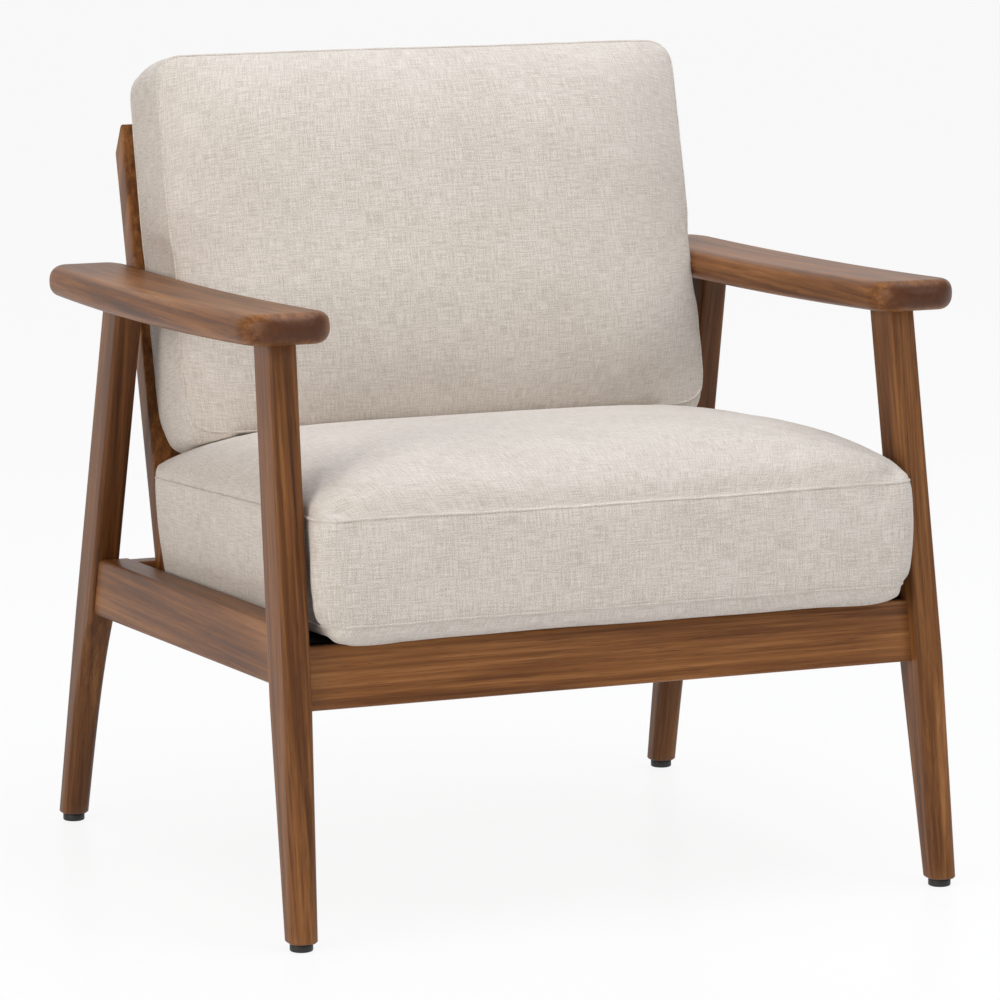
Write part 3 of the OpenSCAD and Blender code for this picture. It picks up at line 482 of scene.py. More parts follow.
def side_inner_x(z):
    return leg_x(z) + SIDE_OUT - SIDE_RAIL_T / math.cos(LEG_TILT)


FRONT_RAIL_Y = front_mid(FRONT_RAIL_TOP) - LEG_D / 2 + FRONT_RAIL_SET


def side_rail(side):
    rise = (SIDE_TOP_FRONT - SIDE_TOP_REAR) / (front_joint_y(SIDE_TOP_FRONT) - rear_joint_y(SIDE_TOP_REAR))
    outline = rounded_outline(SIDE_RAIL_T, SIDE_RAIL_H, SIDE_RAIL_ARRIS)
    rings = []
    for share in [k / 12 for k in range(13)]:
        ring = []
        for a, b in outline:
            below = b - SIDE_RAIL_H / 2
            ends = []
            for joint in (front_joint_y, rear_joint_y):
                y = 0.0
                for _ in range(12):
                    z = SIDE_TOP_REAR + rise * (y - rear_joint_y(SIDE_TOP_REAR)) + below
                    y = joint(z)
                ends.append((y, z))
            (y0, z0), (y1, z1) = ends
            y, z = y0 + (y1 - y0) * share, z0 + (z1 - z0) * share
            ring.append((side * (leg_x(z) + SIDE_OUT - SIDE_RAIL_T / 2 + a), y, z))
        rings.append(ring)
    hand = "left" if side < 0 else "right"
    place_wood(skin(f"walnut_side_rail_{hand}", rings), side_rail_grain, f"side_rail_{hand}")


def cross_rail(name, outline, end_x, grain, node):
    """Bar along x whose outline is given as (y, z) points and whose ends are cut to the planes end_x(z)."""
    rings = [[(end_x(z) * (2 * k / 14 - 1), y, z) for y, z in outline] for k in range(15)]
    place_wood(skin(name, rings), grain, node)


# Painted light: the side rails get a slightly darker copy of the stain, the front and rear rails a lighter
# one.
side_rail_grain = walnut("walnut_side_rails", "Y", 0.0, 0.93, 3.9)
cross_rail_grain = walnut("walnut_cross_rails", "X", 0.0, 1.08, 5.2)
for side in (-1, 1):
    side_rail(side)
raked = []
for a, b in rounded_outline(CROSS_RAIL_T, FRONT_RAIL_H, CROSS_RAIL_ARRIS):
    back, down = a + CROSS_RAIL_T / 2, b - FRONT_RAIL_H / 2
    raked.append((FRONT_RAIL_Y + back * math.cos(FRONT_RAKE) + down * math.sin(FRONT_RAKE),
                  FRONT_RAIL_TOP - back * math.sin(FRONT_RAKE) + down * math.cos(FRONT_RAKE)))
cross_rail("walnut_front_rail", raked, lambda z: leg_x(z) - LEG_W / 2, cross_rail_grain, "front_rail")
upright = [(REAR_RAIL_Y + CROSS_RAIL_T / 2 + a, REAR_RAIL_TOP - REAR_RAIL_H / 2 + b)
           for a, b in rounded_outline(CROSS_RAIL_T, REAR_RAIL_H, CROSS_RAIL_ARRIS)]
cross_rail("walnut_rear_rail", upright, side_inner_x, cross_rail_grain, "rear_rail")

# The ladder back: two stiles with an upright foot bolted to the rear rail, four slats and
# a crest rail let into them. All of it is the same stained wood in shadow behind the cushion,
# painted lighter on the stiles and darker on the slats.
BACK_LEAN = math.radians(14.5)
STILE_OUT = ARM_IN_X + 1.5
STILE_W = 22.0
STILE_D = 24.0
STILE_LEN = 442.0
SLAT_T = 14.0
SLAT_H = 44.0
CREST_H = 50.0
SLAT_BACK = -9.0
FIRST_SLAT = 100.0
SLAT_PITCH = 75.0
SLAT_ARRIS = 4.0
SLAT_TENON = 2.0
STILE_ARRIS = 2.0
STILE_FOOT_RISE = 3.0
STILE_TOP_SLOPE = 26.0


def on_back(v, u):
    """Point on the leaning back: v up along the lean, u backwards."""
    return (REAR_RAIL_Y + v * math.sin(BACK_LEAN) + u * math.cos(BACK_LEAN),
            REAR_RAIL_TOP + v * math.cos(BACK_LEAN) - u * math.sin(BACK_LEAN))


def extruded(name, outline, x0, x1, arris):
    """Board with the side outline given as (y, z) points, cut from x0 to x1, its arrises rounded."""
    count = len(outline)
    points = [Vector((x, y, z)) * MM for x in (x0, x1) for y, z in outline]
    faces = [tuple(range(count)), tuple(range(2 * count - 1, count - 1, -1))]
    faces += [(i, (i + 1) % count, (i + 1) % count + count, i + count) for i in range(count)]
    piece = mesh_object(name, points, faces)
    bm = bmesh.new()
    bm.from_mesh(piece.data)
    bmesh.ops.recalc_face_normals(bm, faces=bm.faces)
    sharp = [e for e in bm.edges if e.calc_face_angle(0) > math.radians(25)]
    bmesh.ops.bevel(bm, geom=sharp, offset=arris * MM, segments=4, profile=0.5, affect="EDGES")
    bm.to_mesh(piece.data)
    bm.free()
    return piece


def stile(side):
    foot = REAR_RAIL_TOP - REAR_RAIL_H + STILE_FOOT_RISE
    bend = STILE_D * math.tan(BACK_LEAN / 2)
    outline = [(REAR_RAIL_Y, foot), (REAR_RAIL_Y, REAR_RAIL_TOP),
               on_back(STILE_LEN - STILE_TOP_SLOPE, 0),
               on_back(STILE_LEN, -STILE_D), on_back(bend, -STILE_D),
               (REAR_RAIL_Y - STILE_D, REAR_RAIL_TOP + bend), (REAR_RAIL_Y - STILE_D, foot)]
    hand = "left" if side < 0 else "right"
    x0, x1 = sorted((side * (STILE_OUT - STILE_W), side * STILE_OUT))
    board = extruded(f"walnut_back_stile_{hand}", outline, x0, x1, STILE_ARRIS)
    place_wood(board, stile_grain, f"back_stile_{hand}")


def back_board(name, v, height, node):
    outline = [on_back(v + b, SLAT_BACK - SLAT_T / 2 + a)
               for a, b in rounded_outline(SLAT_T, height, SLAT_ARRIS)]
    cross_rail(name, outline, lambda z: STILE_OUT - STILE_W + SLAT_TENON, slat_grain, node)


# Painted light: the stiles, in shadow behind the cushion, get a lighter copy of the stain and the slats a
# darker one.
stile_grain = walnut("walnut_stiles", "Z", -BACK_LEAN, 1.12, 6.7)
slat_grain = walnut("walnut_slats", "X", 0.0, 0.9, 7.9)
for side in (-1, 1):
    stile(side)
for number in range(1, 5):
    height_up = FIRST_SLAT + (number - 1) * SLAT_PITCH
    back_board(f"walnut_back_slat_{number}", height_up, SLAT_H, f"back_slat_{number}")
back_board("walnut_crest_rail", FIRST_SLAT + 4 * SLAT_PITCH, CREST_H, "crest_rail")

# The deck frame, cleats, corner blocks and dowels: plain planed hardwood without stain,
# half-lapped, glued and screwed, seen only from below.
def speckled(name, stops, roughness, bump, kind="ShaderNodeTexNoise", output="Fac", stretch=(1, 1, 1),
             **pattern):
    """Material whose colour and relief follow one fine pattern in the piece's own space."""
    material, nodes, links, surface = new_material(name)
    coord = nodes.new("ShaderNodeTexCoord")
    spread = add_node(nodes, "ShaderNodeMapping", Vector=coord.outputs["Object"], Scale=stretch)
    speckle = add_node(nodes, kind, Vector=spread.outputs[0], **pattern).outputs[output]
    strength, depth = bump
    relief = add_node(nodes, "ShaderNodeBump", Strength=strength, Distance=depth, Height=speckle)
    links.new(colour_ramp(nodes, speckle, stops), surface.inputs["Base Color"])
    links.new(relief.outputs[0], surface.inputs["Normal"])
    surface.inputs["Roughness"].default_value = roughness
    return material


def finish_node(material, *names):
    for name in names:
        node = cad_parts[name]
        node.data.materials.clear()
        node.data.materials.append(material)


hardwood = speckled("plain_hardwood", [(0.3, (0.42, 0.29, 0.16)), (0.72, (0.62, 0.47, 0.30))], 0.62,
                    (0.2, 0.0004), stretch=(9, 160, 160),
                    Scale=1.0, Detail=4.0, Roughness=0.6, Distortion=0.3)
finish_node(hardwood, "corner_block_left", "corner_block_right", "side_cleat_left", "side_cleat_right",
            "front_cleat", "rear_cleat", "deck_batten_left", "deck_batten_right", "deck_batten_front",
            "deck_batten_rear", "rail_dowels", "arm_dowels")

# The fixings: zinc-plated wood screws, bolts and washers, brass insert nuts in the stiles,
# and one screw through each black plastic glide.
def metal(name, colour, roughness):
    material, nodes, links, surface = new_material(name)
    coord = nodes.new("ShaderNodeTexCoord")
    noise = add_node(nodes, "ShaderNodeTexNoise", Vector=coord.outputs["Object"], Scale=420.0, Detail=3.0,
                     Roughness=0.6).outputs["Fac"]
    links.new(colour_ramp(nodes, noise, [(0.0, [c * 0.78 for c in colour]), (1.0, colour)]),
              surface.inputs["Base Color"])
    links.new(remap(nodes, noise, 0.0, 1.0, roughness * 0.8, roughness * 1.3), surface.inputs["Roughness"])
    surface.inputs["Metallic"].default_value = 1.0
    return material


zinc = metal("zinc_plated_steel", (0.66, 0.67, 0.68), 0.34)
brass = metal("antique_brass", (0.58, 0.44, 0.22), 0.38)
finish_node(zinc, "glide_screws", "arm_screws", "back_bolts", "back_washers", "cleat_screws", "block_screws")
finish_node(brass, "insert_nuts")

# The four foot glides: round pads of black plastic, 22 mm across and 8 mm high, with
# a softened lower edge and a shallow groove where they meet the wood.
def turned(profile, steps=48):
    """Rings of a turned piece from its (radius, height) profile, round the z axis."""
    return [[(r * math.cos(2 * math.pi * k / steps), r * math.sin(2 * math.pi * k / steps), z)
             for k in range(steps)] for r, z in profile]


def glide(side, front):
    profile = [(4.6, 2.4), (4.6, 0.0), (9.4, 0.0), (10.3, 0.35), (10.8, 0.9), (11.0, 1.7), (11.0, 6.4),
               (10.8, 6.9), (10.3, 7.1), (10.3, 7.9)]
    x = side * leg_x(GLIDE_H)
    y = -FOOT_Y if front else rear_mid(GLIDE_H)
    rings = [[(x + px, y + py, pz) for px, py, pz in ring] for ring in turned(profile)]
    end = "front" if front else "rear"
    hand = "left" if side < 0 else "right"
    piece = crisp(skin(f"foot_glide_{end}_{hand}", rings), 50)
    dress(piece, glide_plastic, "frame", "glide", f"glide_{end}_{hand}")


glide_plastic = speckled("black_glide_plastic",
                         [(0.0, (0.006, 0.006, 0.006)), (1.0, (0.022, 0.021, 0.020))],
                         0.48, (0.25, 0.0003), Scale=900.0, Detail=4.0, Roughness=0.7)
for side in (-1, 1):
    glide(side, True)
    glide(side, False)

# The seat deck: ten straps of black elastic webbing, interlaced over and under and
# stapled to the battens, with a thin black dust cloth laid over them.
DECK_RAKE = math.radians(2.8)
SOFT_GAP = 0.3
STRAP_W = 50.0
STRAP_T = 1.4
STRAP_PITCH = 86.0
STRAP_WAVE = 1.25
STRAP_GAP = 0.1
STRAP_END_SET = 4.0
CLOTH_EDGE = 2.0
CLOTH_T = 0.6
DECK_FRONT = 24.0
DECK_END_GAP = 1.0
DECK_SIDE_GAP = 1.5
DECK_END = REAR_RAIL_Y - STILE_D - FRONT_RAIL_Y - DECK_END_GAP
DECK_HALF_W = side_inner_x(FRONT_RAIL_TOP) - DECK_SIDE_GAP
DECK_MIDDLE = (DECK_FRONT + DECK_END) / 2
STRAP_MID = -SOFT_GAP - CLOTH_T - STRAP_WAVE - STRAP_T / 2 - STRAP_GAP
deck_space = (Matrix.Translation(Vector((0, FRONT_RAIL_Y, FRONT_RAIL_TOP + 2 * SOFT_GAP)))
              @ Matrix.Rotation(-DECK_RAKE, 4, "X"))


def black_cloth(name, pitch, ribs):
    """Black ribbed cloth, its ribs across the given direction."""
    material, nodes, links, surface = new_material(name)
    coord = nodes.new("ShaderNodeTexCoord").outputs["Object"]
    wave = add_node(nodes, "ShaderNodeTexWave", Vector=coord, Scale=pitch, Distortion=0.6, Detail=1.0,
                    bands_direction=ribs)
    noise = add_node(nodes, "ShaderNodeTexNoise", Vector=coord, Scale=260.0, Detail=4.0, Roughness=0.65)
    tones = [(0.0, (0.010, 0.010, 0.010)), (1.0, (0.036, 0.034, 0.033))]
    links.new(colour_ramp(nodes, noise.outputs["Fac"], tones), surface.inputs["Base Color"])
    relief = add_node(nodes, "ShaderNodeBump", Strength=0.5, Distance=0.0004, Height=wave.outputs["Fac"])
    links.new(relief.outputs[0], surface.inputs["Normal"])
    surface.inputs["Roughness"].default_value = 0.85
    surface.inputs["Sheen Weight"].default_value = 0.15
    return material


def strap_height(distance, span, phase):
    if abs(distance) > span:
        return 0.0
    return STRAP_WAVE * math.cos(math.pi * (distance / STRAP_PITCH + phase))


def webbing(name, count, reach, span, lengthways, phase_shift, node):
    points, faces = [], []
    for number in range(count):
        centre = (number - (count - 1) / 2) * STRAP_PITCH
        phase = number + phase_shift
        steps = round(2 * reach / 6)
        for k in range(steps + 1):
            d = -reach + 2 * reach * k / steps
            z = STRAP_MID + strap_height(d, span, phase)
            for across, up in ((-1, -1), (1, -1), (1, 1), (-1, 1)):
                side_to_side = centre + across * STRAP_W / 2
                spot = (side_to_side, DECK_MIDDLE + d, z + up * STRAP_T / 2) if lengthways else (
                    d, DECK_MIDDLE + side_to_side, z + up * STRAP_T / 2)
                points.append(deck_space @ Vector(spot) * MM)
        base = len(points) - 4 * (steps + 1)
        for k in range(steps):
            for i in range(4):
                a, b = base + 4 * k + i, base + 4 * k + (i + 1) % 4
                faces.append((a, b, b + 4, a + 4))
        faces.append((base, base + 3, base + 2, base + 1))
        end = base + 4 * steps
        faces.append((end, end + 1, end + 2, end + 3))
    cloth = strap_cloth if lengthways else cross_strap_cloth
    dress(crisp(mesh_object(name, points, faces)), cloth, "frame", "webbing", node)


strap_cloth = black_cloth("webbing_ribbed_along", 240.0, "Y")
cross_strap_cloth = black_cloth("webbing_ribbed_across", 240.0, "X")
deck_reach = (DECK_END - DECK_FRONT) / 2
webbing("webbing_straps_lengthways", 6, deck_reach - STRAP_END_SET, 2 * STRAP_PITCH, True, 1.5,
        "webbing_lengthways")
webbing("webbing_straps_crossways", 4, DECK_HALF_W - STRAP_END_SET, 3 * STRAP_PITCH, False, 3.5,
        "webbing_crossways")


def dust_cloth():
    half_w = DECK_HALF_W - CLOTH_EDGE
    front, back = DECK_FRONT + CLOTH_EDGE, DECK_END - CLOTH_EDGE
    columns, rows = 60, 44
    points, faces = [], []
    for layer in (0.0, -CLOTH_T):
        for j in range(rows + 1):
            for i in range(columns + 1):
                x = -half_w + 2 * half_w * i / columns
                y = front + (back - front) * j / rows
                points.append(deck_space @ Vector((x, y, -SOFT_GAP + layer)) * MM)
    size = (columns + 1) * (rows + 1)
    for j in range(rows):
        for i in range(columns):
            a = j * (columns + 1) + i
            faces.append((a, a + 1, a + columns + 2, a + columns + 1))
            faces.append((a + size, a + size + columns + 1, a + size + columns + 2, a + size + 1))
    rim = list(range(columns)) + [j * (columns + 1) + columns for j in range(rows)]
    rim += [rows * (columns + 1) + i for i in range(columns, 0, -1)]
    rim += [j * (columns + 1) for j in range(rows, 0, -1)]
    for a, b in zip(rim, rim[1:] + rim[:1]):
        faces.append((b, a, a + size, b + size))
    piece = crisp(mesh_object("deck_dust_cloth", points, faces))
    dress(piece, black_cloth("dust_cloth_black", 520.0, "DIAGONAL"), "frame", "deck_cloth", "deck_cloth")


dust_cloth()

# The seat cushion: a boxed cushion of foam in an oatmeal linen cover. Two panels are sewn to a
# 100 mm band and the turned-in seams stand up as thin ridges. The top is fully crowned, the
# front edge bows forward, and the cover puckers where the upper seam turns the front corners.
SEAT_W = 616.0
SEAT_LOW_W = 598.0
SEAT_DEPTH = 481.0
SEAT_BAND = 100.5
SEAT_CROWN = 58.0
SEAT_BASE_CROWN = 18.5
SEAT_REAR_SET = 7.8
SEAT_MID = DECK_END - SEAT_REAR_SET - SEAT_DEPTH / 2
SEAT_TOP_FORM = (4.8, 0.4, 3.0, 0.6)
SEAT_UNDER_FORM = (22.0, 0.42, 4.8, 0.4)
SEAT_REAR_CORNER = 50.0  # rounder than the CAD solid's 16 mm, as in the photograph
SEAT_OVERHANG = 208.0
BAND_BULGE = 2.5
SEWN_REACH = 9.0
FILLING_FRAMES = 20
FOAM_INSET = 3.0
SEAM_HALF_W = 1.5
SEAM_HEIGHT = 1.15
SEAM_LIFT = 0.3
LINEN_TONES = [(0.36, (0.500, 0.442, 0.385)), (0.50, (0.670, 0.608, 0.545)), (0.64, (0.775, 0.722, 0.665))]
seat_space = deck_space @ Matrix.Translation(Vector((0, SEAT_MID, SEAT_BASE_CROWN)))


def crown(share, power, fullness):
    return (1 - min(1.0, abs(share)) ** power) ** fullness


def crown_along(share, form):
    return crown(share, *form[:2]) if share < 0 else crown(share, *form[2:])


def eased(value, start, end):
    """Runs smoothly from 0 at the start to 1 at the end."""
    share = min(1.0, max(0.0, (value - start) / (end - start)))
    return share * share * (3 - 2 * share)


def panel_rise(cushion, x, y, upper):
    """How far a panel stands off the plane of its seam."""
    width, rise, form = (("w", "crown", "top_form") if upper else ("low_w", "base_crown", "under_form"))
    form = cushion[form]
    height = (cushion[rise] * crown(2 * x / cushion[width], *form[:2])
              * crown_along(2 * y / cushion["d"], form))
    if not upper:
        height *= 1 + cushion["hang"] * eased(-y, cushion["overhang"], cushion["overhang"] + 12)
    return height


def band_outline(cushion, level, steps=8, between=24):
    """Outline of the band at a share of its height, from the lower seam to the upper one."""
    swell = 2 * cushion["bulge"] * math.sin(math.pi * level)
    width = cushion["low_w"] + (cushion["w"] - cushion["low_w"]) * level + swell
    depth = cushion["d"] + swell
    front_corner = cushion["corner"] * (1 + cushion["low_rounding"] * (1 - level) ** 2)
    front = rounded_outline(width, depth, front_corner, steps)
    rear = rounded_outline(width, depth, cushion["rear_corner"], steps)
    corners = rear[:2 * (steps + 1)] + front[2 * (steps + 1):]
    outline = []
    for corner in range(4):
        arc = corners[corner * (steps + 1):(corner + 1) * (steps + 1)]
        start, end = Vector(arc[-1]), Vector(corners[((corner + 1) % 4) * (steps + 1)])
        outline += arc
        outline += [tuple(start.lerp(end, k / (between + 1))) for k in range(1, between + 1)]
    loose = cushion["side_swell"] + (1 - level) * (cushion["w"] - cushion["low_w"]) / 2
    loose *= 1 - cushion["low_taper"] * (1 - min(1.0, level / 0.12)) ** 2
    swollen = []
    for x, y in outline:
        bow = cushion["bow"] * max(0.0, -2 * y / depth) * (1 - (2 * x / width) ** 2)
        wider = loose * eased(-y, cushion["overhang"], cushion["overhang"] + 16)
        swollen.append((x * (1 + 2 * wider / width), y - bow))
    return swollen


def cushion_rings(cushion):
    shares = (0.08, 0.25, 0.42, 0.57, 0.69, 0.79, 0.87, 0.93, 0.965, 0.985, 0.996)

    def panel(upper, order):
        seam_line = band_outline(cushion, 1.0 if upper else 0.0)
        for share in order:
            spots = [(x * share, y * share) for x, y in seam_line]
            rings.append([(x, y, cushion["band"] + panel_rise(cushion, x, y, True)) if upper else
                          (x, y, -panel_rise(cushion, x, y, False)) for x, y in spots])

    rings = []
    panel(False, shares)
    for k in range(13):
        rings.append([(x, y, cushion["band"] * k / 12) for x, y in band_outline(cushion, k / 12)])
    panel(True, reversed(shares))
    return rings


def seam_distance(cushion, x, y, z):
    """Distance in millimetres to the nearer of the two seams."""
    level = min(1.0, max(0.0, z / cushion["band"]))
    half_w = (cushion["low_w"] + (cushion["w"] - cushion["low_w"]) * level) / 2
    from_edge = max(0.0, min(half_w - abs(x), cushion["d"] / 2 - abs(y)))
    return math.hypot(min(abs(z), abs(z - cushion["band"])), from_edge)


def fill_with_foam(piece, cushion):
    """Fills the cover: its seams are held while the filling's pressure swells panels and band.
    The foam is firm, so only a share of the movement is kept."""
    piece.data.remesh_voxel_size = cushion["voxel"] * MM
    bpy.context.view_layer.objects.active = piece
    for other in bpy.context.selected_objects:
        other.select_set(False)
    piece.select_set(True)
    bpy.ops.object.voxel_remesh()
    mesh = piece.data
    formed = [v.co.copy() for v in mesh.vertices]
    normals = [v.normal.copy() for v in mesh.vertices]
    for vertex, outward in zip(mesh.vertices, normals):
        near = math.exp(-(seam_distance(cushion, *(vertex.co / MM)) / 14.0) ** 2)
        vertex.co -= outward * cushion["slack"] * (1 - near) * MM
    start = [v.co.copy() for v in mesh.vertices]
    held = piece.vertex_groups.new(name="sewn")
    for vertex in mesh.vertices:
        away = seam_distance(cushion, *(vertex.co / MM))
        if away < SEWN_REACH:
            held.add([vertex.index], 1.0 - 0.4 * away / SEWN_REACH, "REPLACE")
    cloth = piece.modifiers.new("filling", "CLOTH")
    settings = cloth.settings
    settings.quality = 5
    settings.mass = cushion["mass"]
    settings.use_pressure = True
    settings.uniform_pressure_force = cushion["pressure"]
    settings.vertex_group_mass = "sewn"
    settings.tension_stiffness = cushion["tension"]
    settings.compression_stiffness = cushion["tension"]
    settings.shear_stiffness = 5
    settings.bending_stiffness = cushion["bending"]
    settings.effector_weights.gravity = 0.0
    cloth.point_cache.frame_start = 1
    cloth.point_cache.frame_end = FILLING_FRAMES
    for number in range(1, FILLING_FRAMES + 1):
        bpy.context.scene.frame_set(number)
    settled = piece.evaluated_get(bpy.context.evaluated_depsgraph_get())
    moved = [v.co.copy() for v in settled.data.vertices]
    piece.modifiers.remove(cloth)
    bpy.context.scene.frame_set(1)
    limit = cushion["cap"] * MM
    for vertex, form, before, after in zip(mesh.vertices, formed, start, moved):
        step = after - before
        full = before + step * min(1.0, limit / max(step.length, 1e-9))
        vertex.co = form.lerp(full, cushion["give"])


def linen(name, cushion, space):
    """Slubby plain-weave linen. The threads follow the panels and run round the band in one piece."""
    material, nodes, links, surface = new_material(name)
    to_cushion = space.inverted()
    place = add_node(nodes, "ShaderNodeMapping", Vector=nodes.new("ShaderNodeTexCoord").outputs["Object"],
                     Location=to_cushion.translation, Rotation=to_cushion.to_euler(), Scale=(1 / MM,) * 3)
    x, y, z = add_node(nodes, "ShaderNodeSeparateXYZ", Vector=place.outputs[0]).outputs

    def calc(operation, *values):
        return calculate(nodes, operation, *values)

    above = calc("GREATER_THAN", z, cushion["band"])
    below = calc("LESS_THAN", z, 0.0)
    on_panel = calc("ADD", above, below)
    height = calc("MAXIMUM", calc("SUBTRACT", z, cushion["band"]), calc("MULTIPLY", z, -1.0))
    fall = calc("SUBTRACT", cushion["crown"], calc("MAXIMUM", height, 0.0))
    panel_u = calc("MULTIPLY", x, calc("MULTIPLY_ADD", fall, 2 / cushion["w"], 1.0))
    panel_v = calc("MULTIPLY", y, calc("MULTIPLY_ADD", fall, 2 / cushion["d"], 1.0))
    panel_u = calc("MULTIPLY_ADD", below, 900.0, panel_u)
    past_front = calc("MAXIMUM", calc("ADD", y, cushion["d"] / 2), 0.0)
    band_u = calc("ADD", x, calc("MULTIPLY", calc("SIGN", x), past_front))
    band_v = calc("ADD", z, 700.0)
    u = calc("MULTIPLY_ADD", calc("SUBTRACT", panel_u, band_u), on_panel, band_u)
    v = calc("MULTIPLY_ADD", calc("SUBTRACT", panel_v, band_v), on_panel, band_v)
    cloth = add_node(nodes, "ShaderNodeCombineXYZ", X=u, Y=v).outputs[0]

    def thread_noise(scale_u, scale_v, roughness):
        stretch = add_node(nodes, "ShaderNodeMapping", Vector=cloth, Scale=(scale_u, scale_v, 1))
        noise = add_node(nodes, "ShaderNodeTexNoise", Vector=stretch.outputs[0], noise_dimensions="2D",
                         Scale=1.0, Detail=2, Roughness=roughness)
        return noise.outputs["Fac"]

    pitch = 1.25
    warp_slub = thread_noise(0.80, 0.050, 0.55)
    weft_slub = thread_noise(0.045, 0.80, 0.55)
    warp, weft = (calc("SINE", calc("MULTIPLY_ADD", way, 2 * math.pi / pitch, calc("MULTIPLY", slub, 14.0)))
                  for way, slub in ((u, warp_slub), (v, weft_slub)))
    weave = calc("MULTIPLY", warp, weft)
    fibre = thread_noise(0.95, 0.95, 0.65)
    cloud = thread_noise(0.012, 0.016, 0.5)
    slubs = calc("MULTIPLY_ADD", warp_slub, 0.9, calc("MULTIPLY", weft_slub, 0.9))
    total = calc("MULTIPLY_ADD", fibre, 0.98, calc("MULTIPLY", slubs, 0.50))
    total = calc("MULTIPLY_ADD", cloud, 0.12, total)
    total = calc("MULTIPLY_ADD", calc("MULTIPLY_ADD", weave, 0.02, total), 0.76, -0.268)
    links.new(colour_ramp(nodes, total, LINEN_TONES), surface.inputs["Base Color"])
    threads = calc("MULTIPLY_ADD", slubs, 0.9, calc("MULTIPLY", weave, 0.2))
    relief = add_node(nodes, "ShaderNodeBump", Strength=0.45, Distance=0.0005,
                      Height=calc("MULTIPLY_ADD", fibre, 0.5, threads))
    links.new(relief.outputs[0], surface.inputs["Normal"])
    surface.inputs["Roughness"].default_value = 0.92
    surface.inputs["Specular IOR Level"].default_value = 0.18
    surface.inputs["Sheen Weight"].default_value = 0.22
    surface.inputs["Sheen Roughness"].default_value = 0.5
    return material


def seam(name, cushion, upper, cover_tree, material, space, body):
    """Seam ridge: the turned-in edges of panel and band, 3 mm wide, along the outline."""
    level = 1.0 if upper else 0.0
    path = []
    for x, y in band_outline(cushion, level, 12, 60):
        hit, normal, _, _ = cover_tree.find_nearest(Vector((x, y, level * cushion["band"])) * MM)
        path.append((hit, normal))
    count = len(path)
    for _ in range(3):
        path = [((path[i - 1][0] + path[i][0] * 2 + path[(i + 1) % count][0]) / 4,
                 (path[i - 1][1] + path[i][1] * 2 + path[(i + 1) % count][1]).normalized())
                for i in range(count)]
    points, faces = [], []
    sides = 8
    for i, (spot, normal) in enumerate(path):
        along = (path[(i + 1) % count][0] - path[i - 1][0]).normalized()
        across = normal.cross(along).normalized()
        wander = 1 + 0.14 * math.sin(i * 0.9) * math.sin(i * 0.23)
        for k in range(sides):
            a = 2 * math.pi * k / sides
            points.append(spot + across * (SEAM_HALF_W * MM * math.cos(a)) + normal * (
                SEAM_HEIGHT * MM * wander * math.sin(a) + SEAM_LIFT * MM))
    for i in range(count):
        for k in range(sides):
            a, b = i * sides + k, i * sides + (k + 1) % sides
            c, d = ((i + 1) % count) * sides + k, ((i + 1) % count) * sides + (k + 1) % sides
            faces.append((a, b, d, c))
    piece = crisp(mesh_object(name, points, faces), 180)
    piece.data.transform(space_metres(space))
    dress(piece, material, body, "linen")


def tuck(piece, cushion):
    """Draws the cover in beside the seams, and puckers it where the upper seam turns a front corner."""
    band, half_w, half_d = cushion["band"], cushion["w"] / 2, cushion["d"] / 2
    normals = [v.normal.copy() for v in piece.data.vertices]
    for vertex, outward in zip(piece.data.vertices, normals):
        x, y, z = vertex.co / MM
        pull = 1.3 * math.exp(-(seam_distance(cushion, x, y, z) / 5.0) ** 2)
        if y < 0:
            aside = half_w - 21 - abs(x)
            away = math.hypot(aside / 15.0, (half_d - 4 + y) / 16.0)
            pull += cushion["pucker"] * math.exp(-away ** 2) * math.exp(-((z - band - 9) / 7.0) ** 2)
            pull += 0.35 * cushion["pucker"] * math.exp(-((aside - 14) / 9.0) ** 2) * math.exp(
                -((z - band + 14) / 9.0) ** 2)
        vertex.co -= outward * pull * MM


def wrinkle(x, y, z):
    """Very shallow unevenness of a filled linen cover, in millimetres."""
    return (0.5 * math.sin(x * 0.021 + 1.3 * math.sin(y * 0.017)) * math.sin(y * 0.026 + 0.8)
            + 0.3 * math.sin(x * 0.047 + y * 0.033 + 2.0) * math.sin(z * 0.05 + y * 0.041))


def foam_core(name, cover, space, body, node):
    """Foam inside the cover: the cover's own form, a few millimetres smaller all round."""
    foam = cover.copy()
    foam.data = cover.data.copy()
    foam.name = name
    foam.data.name = name
    bpy.context.scene.collection.objects.link(foam)
    normals = [v.normal.copy() for v in foam.data.vertices]
    for vertex, outward in zip(foam.data.vertices, normals):
        vertex.co -= outward * FOAM_INSET * MM
    foam.data.transform(space_metres(space))
    dress(crisp(foam, 180), foam_surface, body, "foam", node)


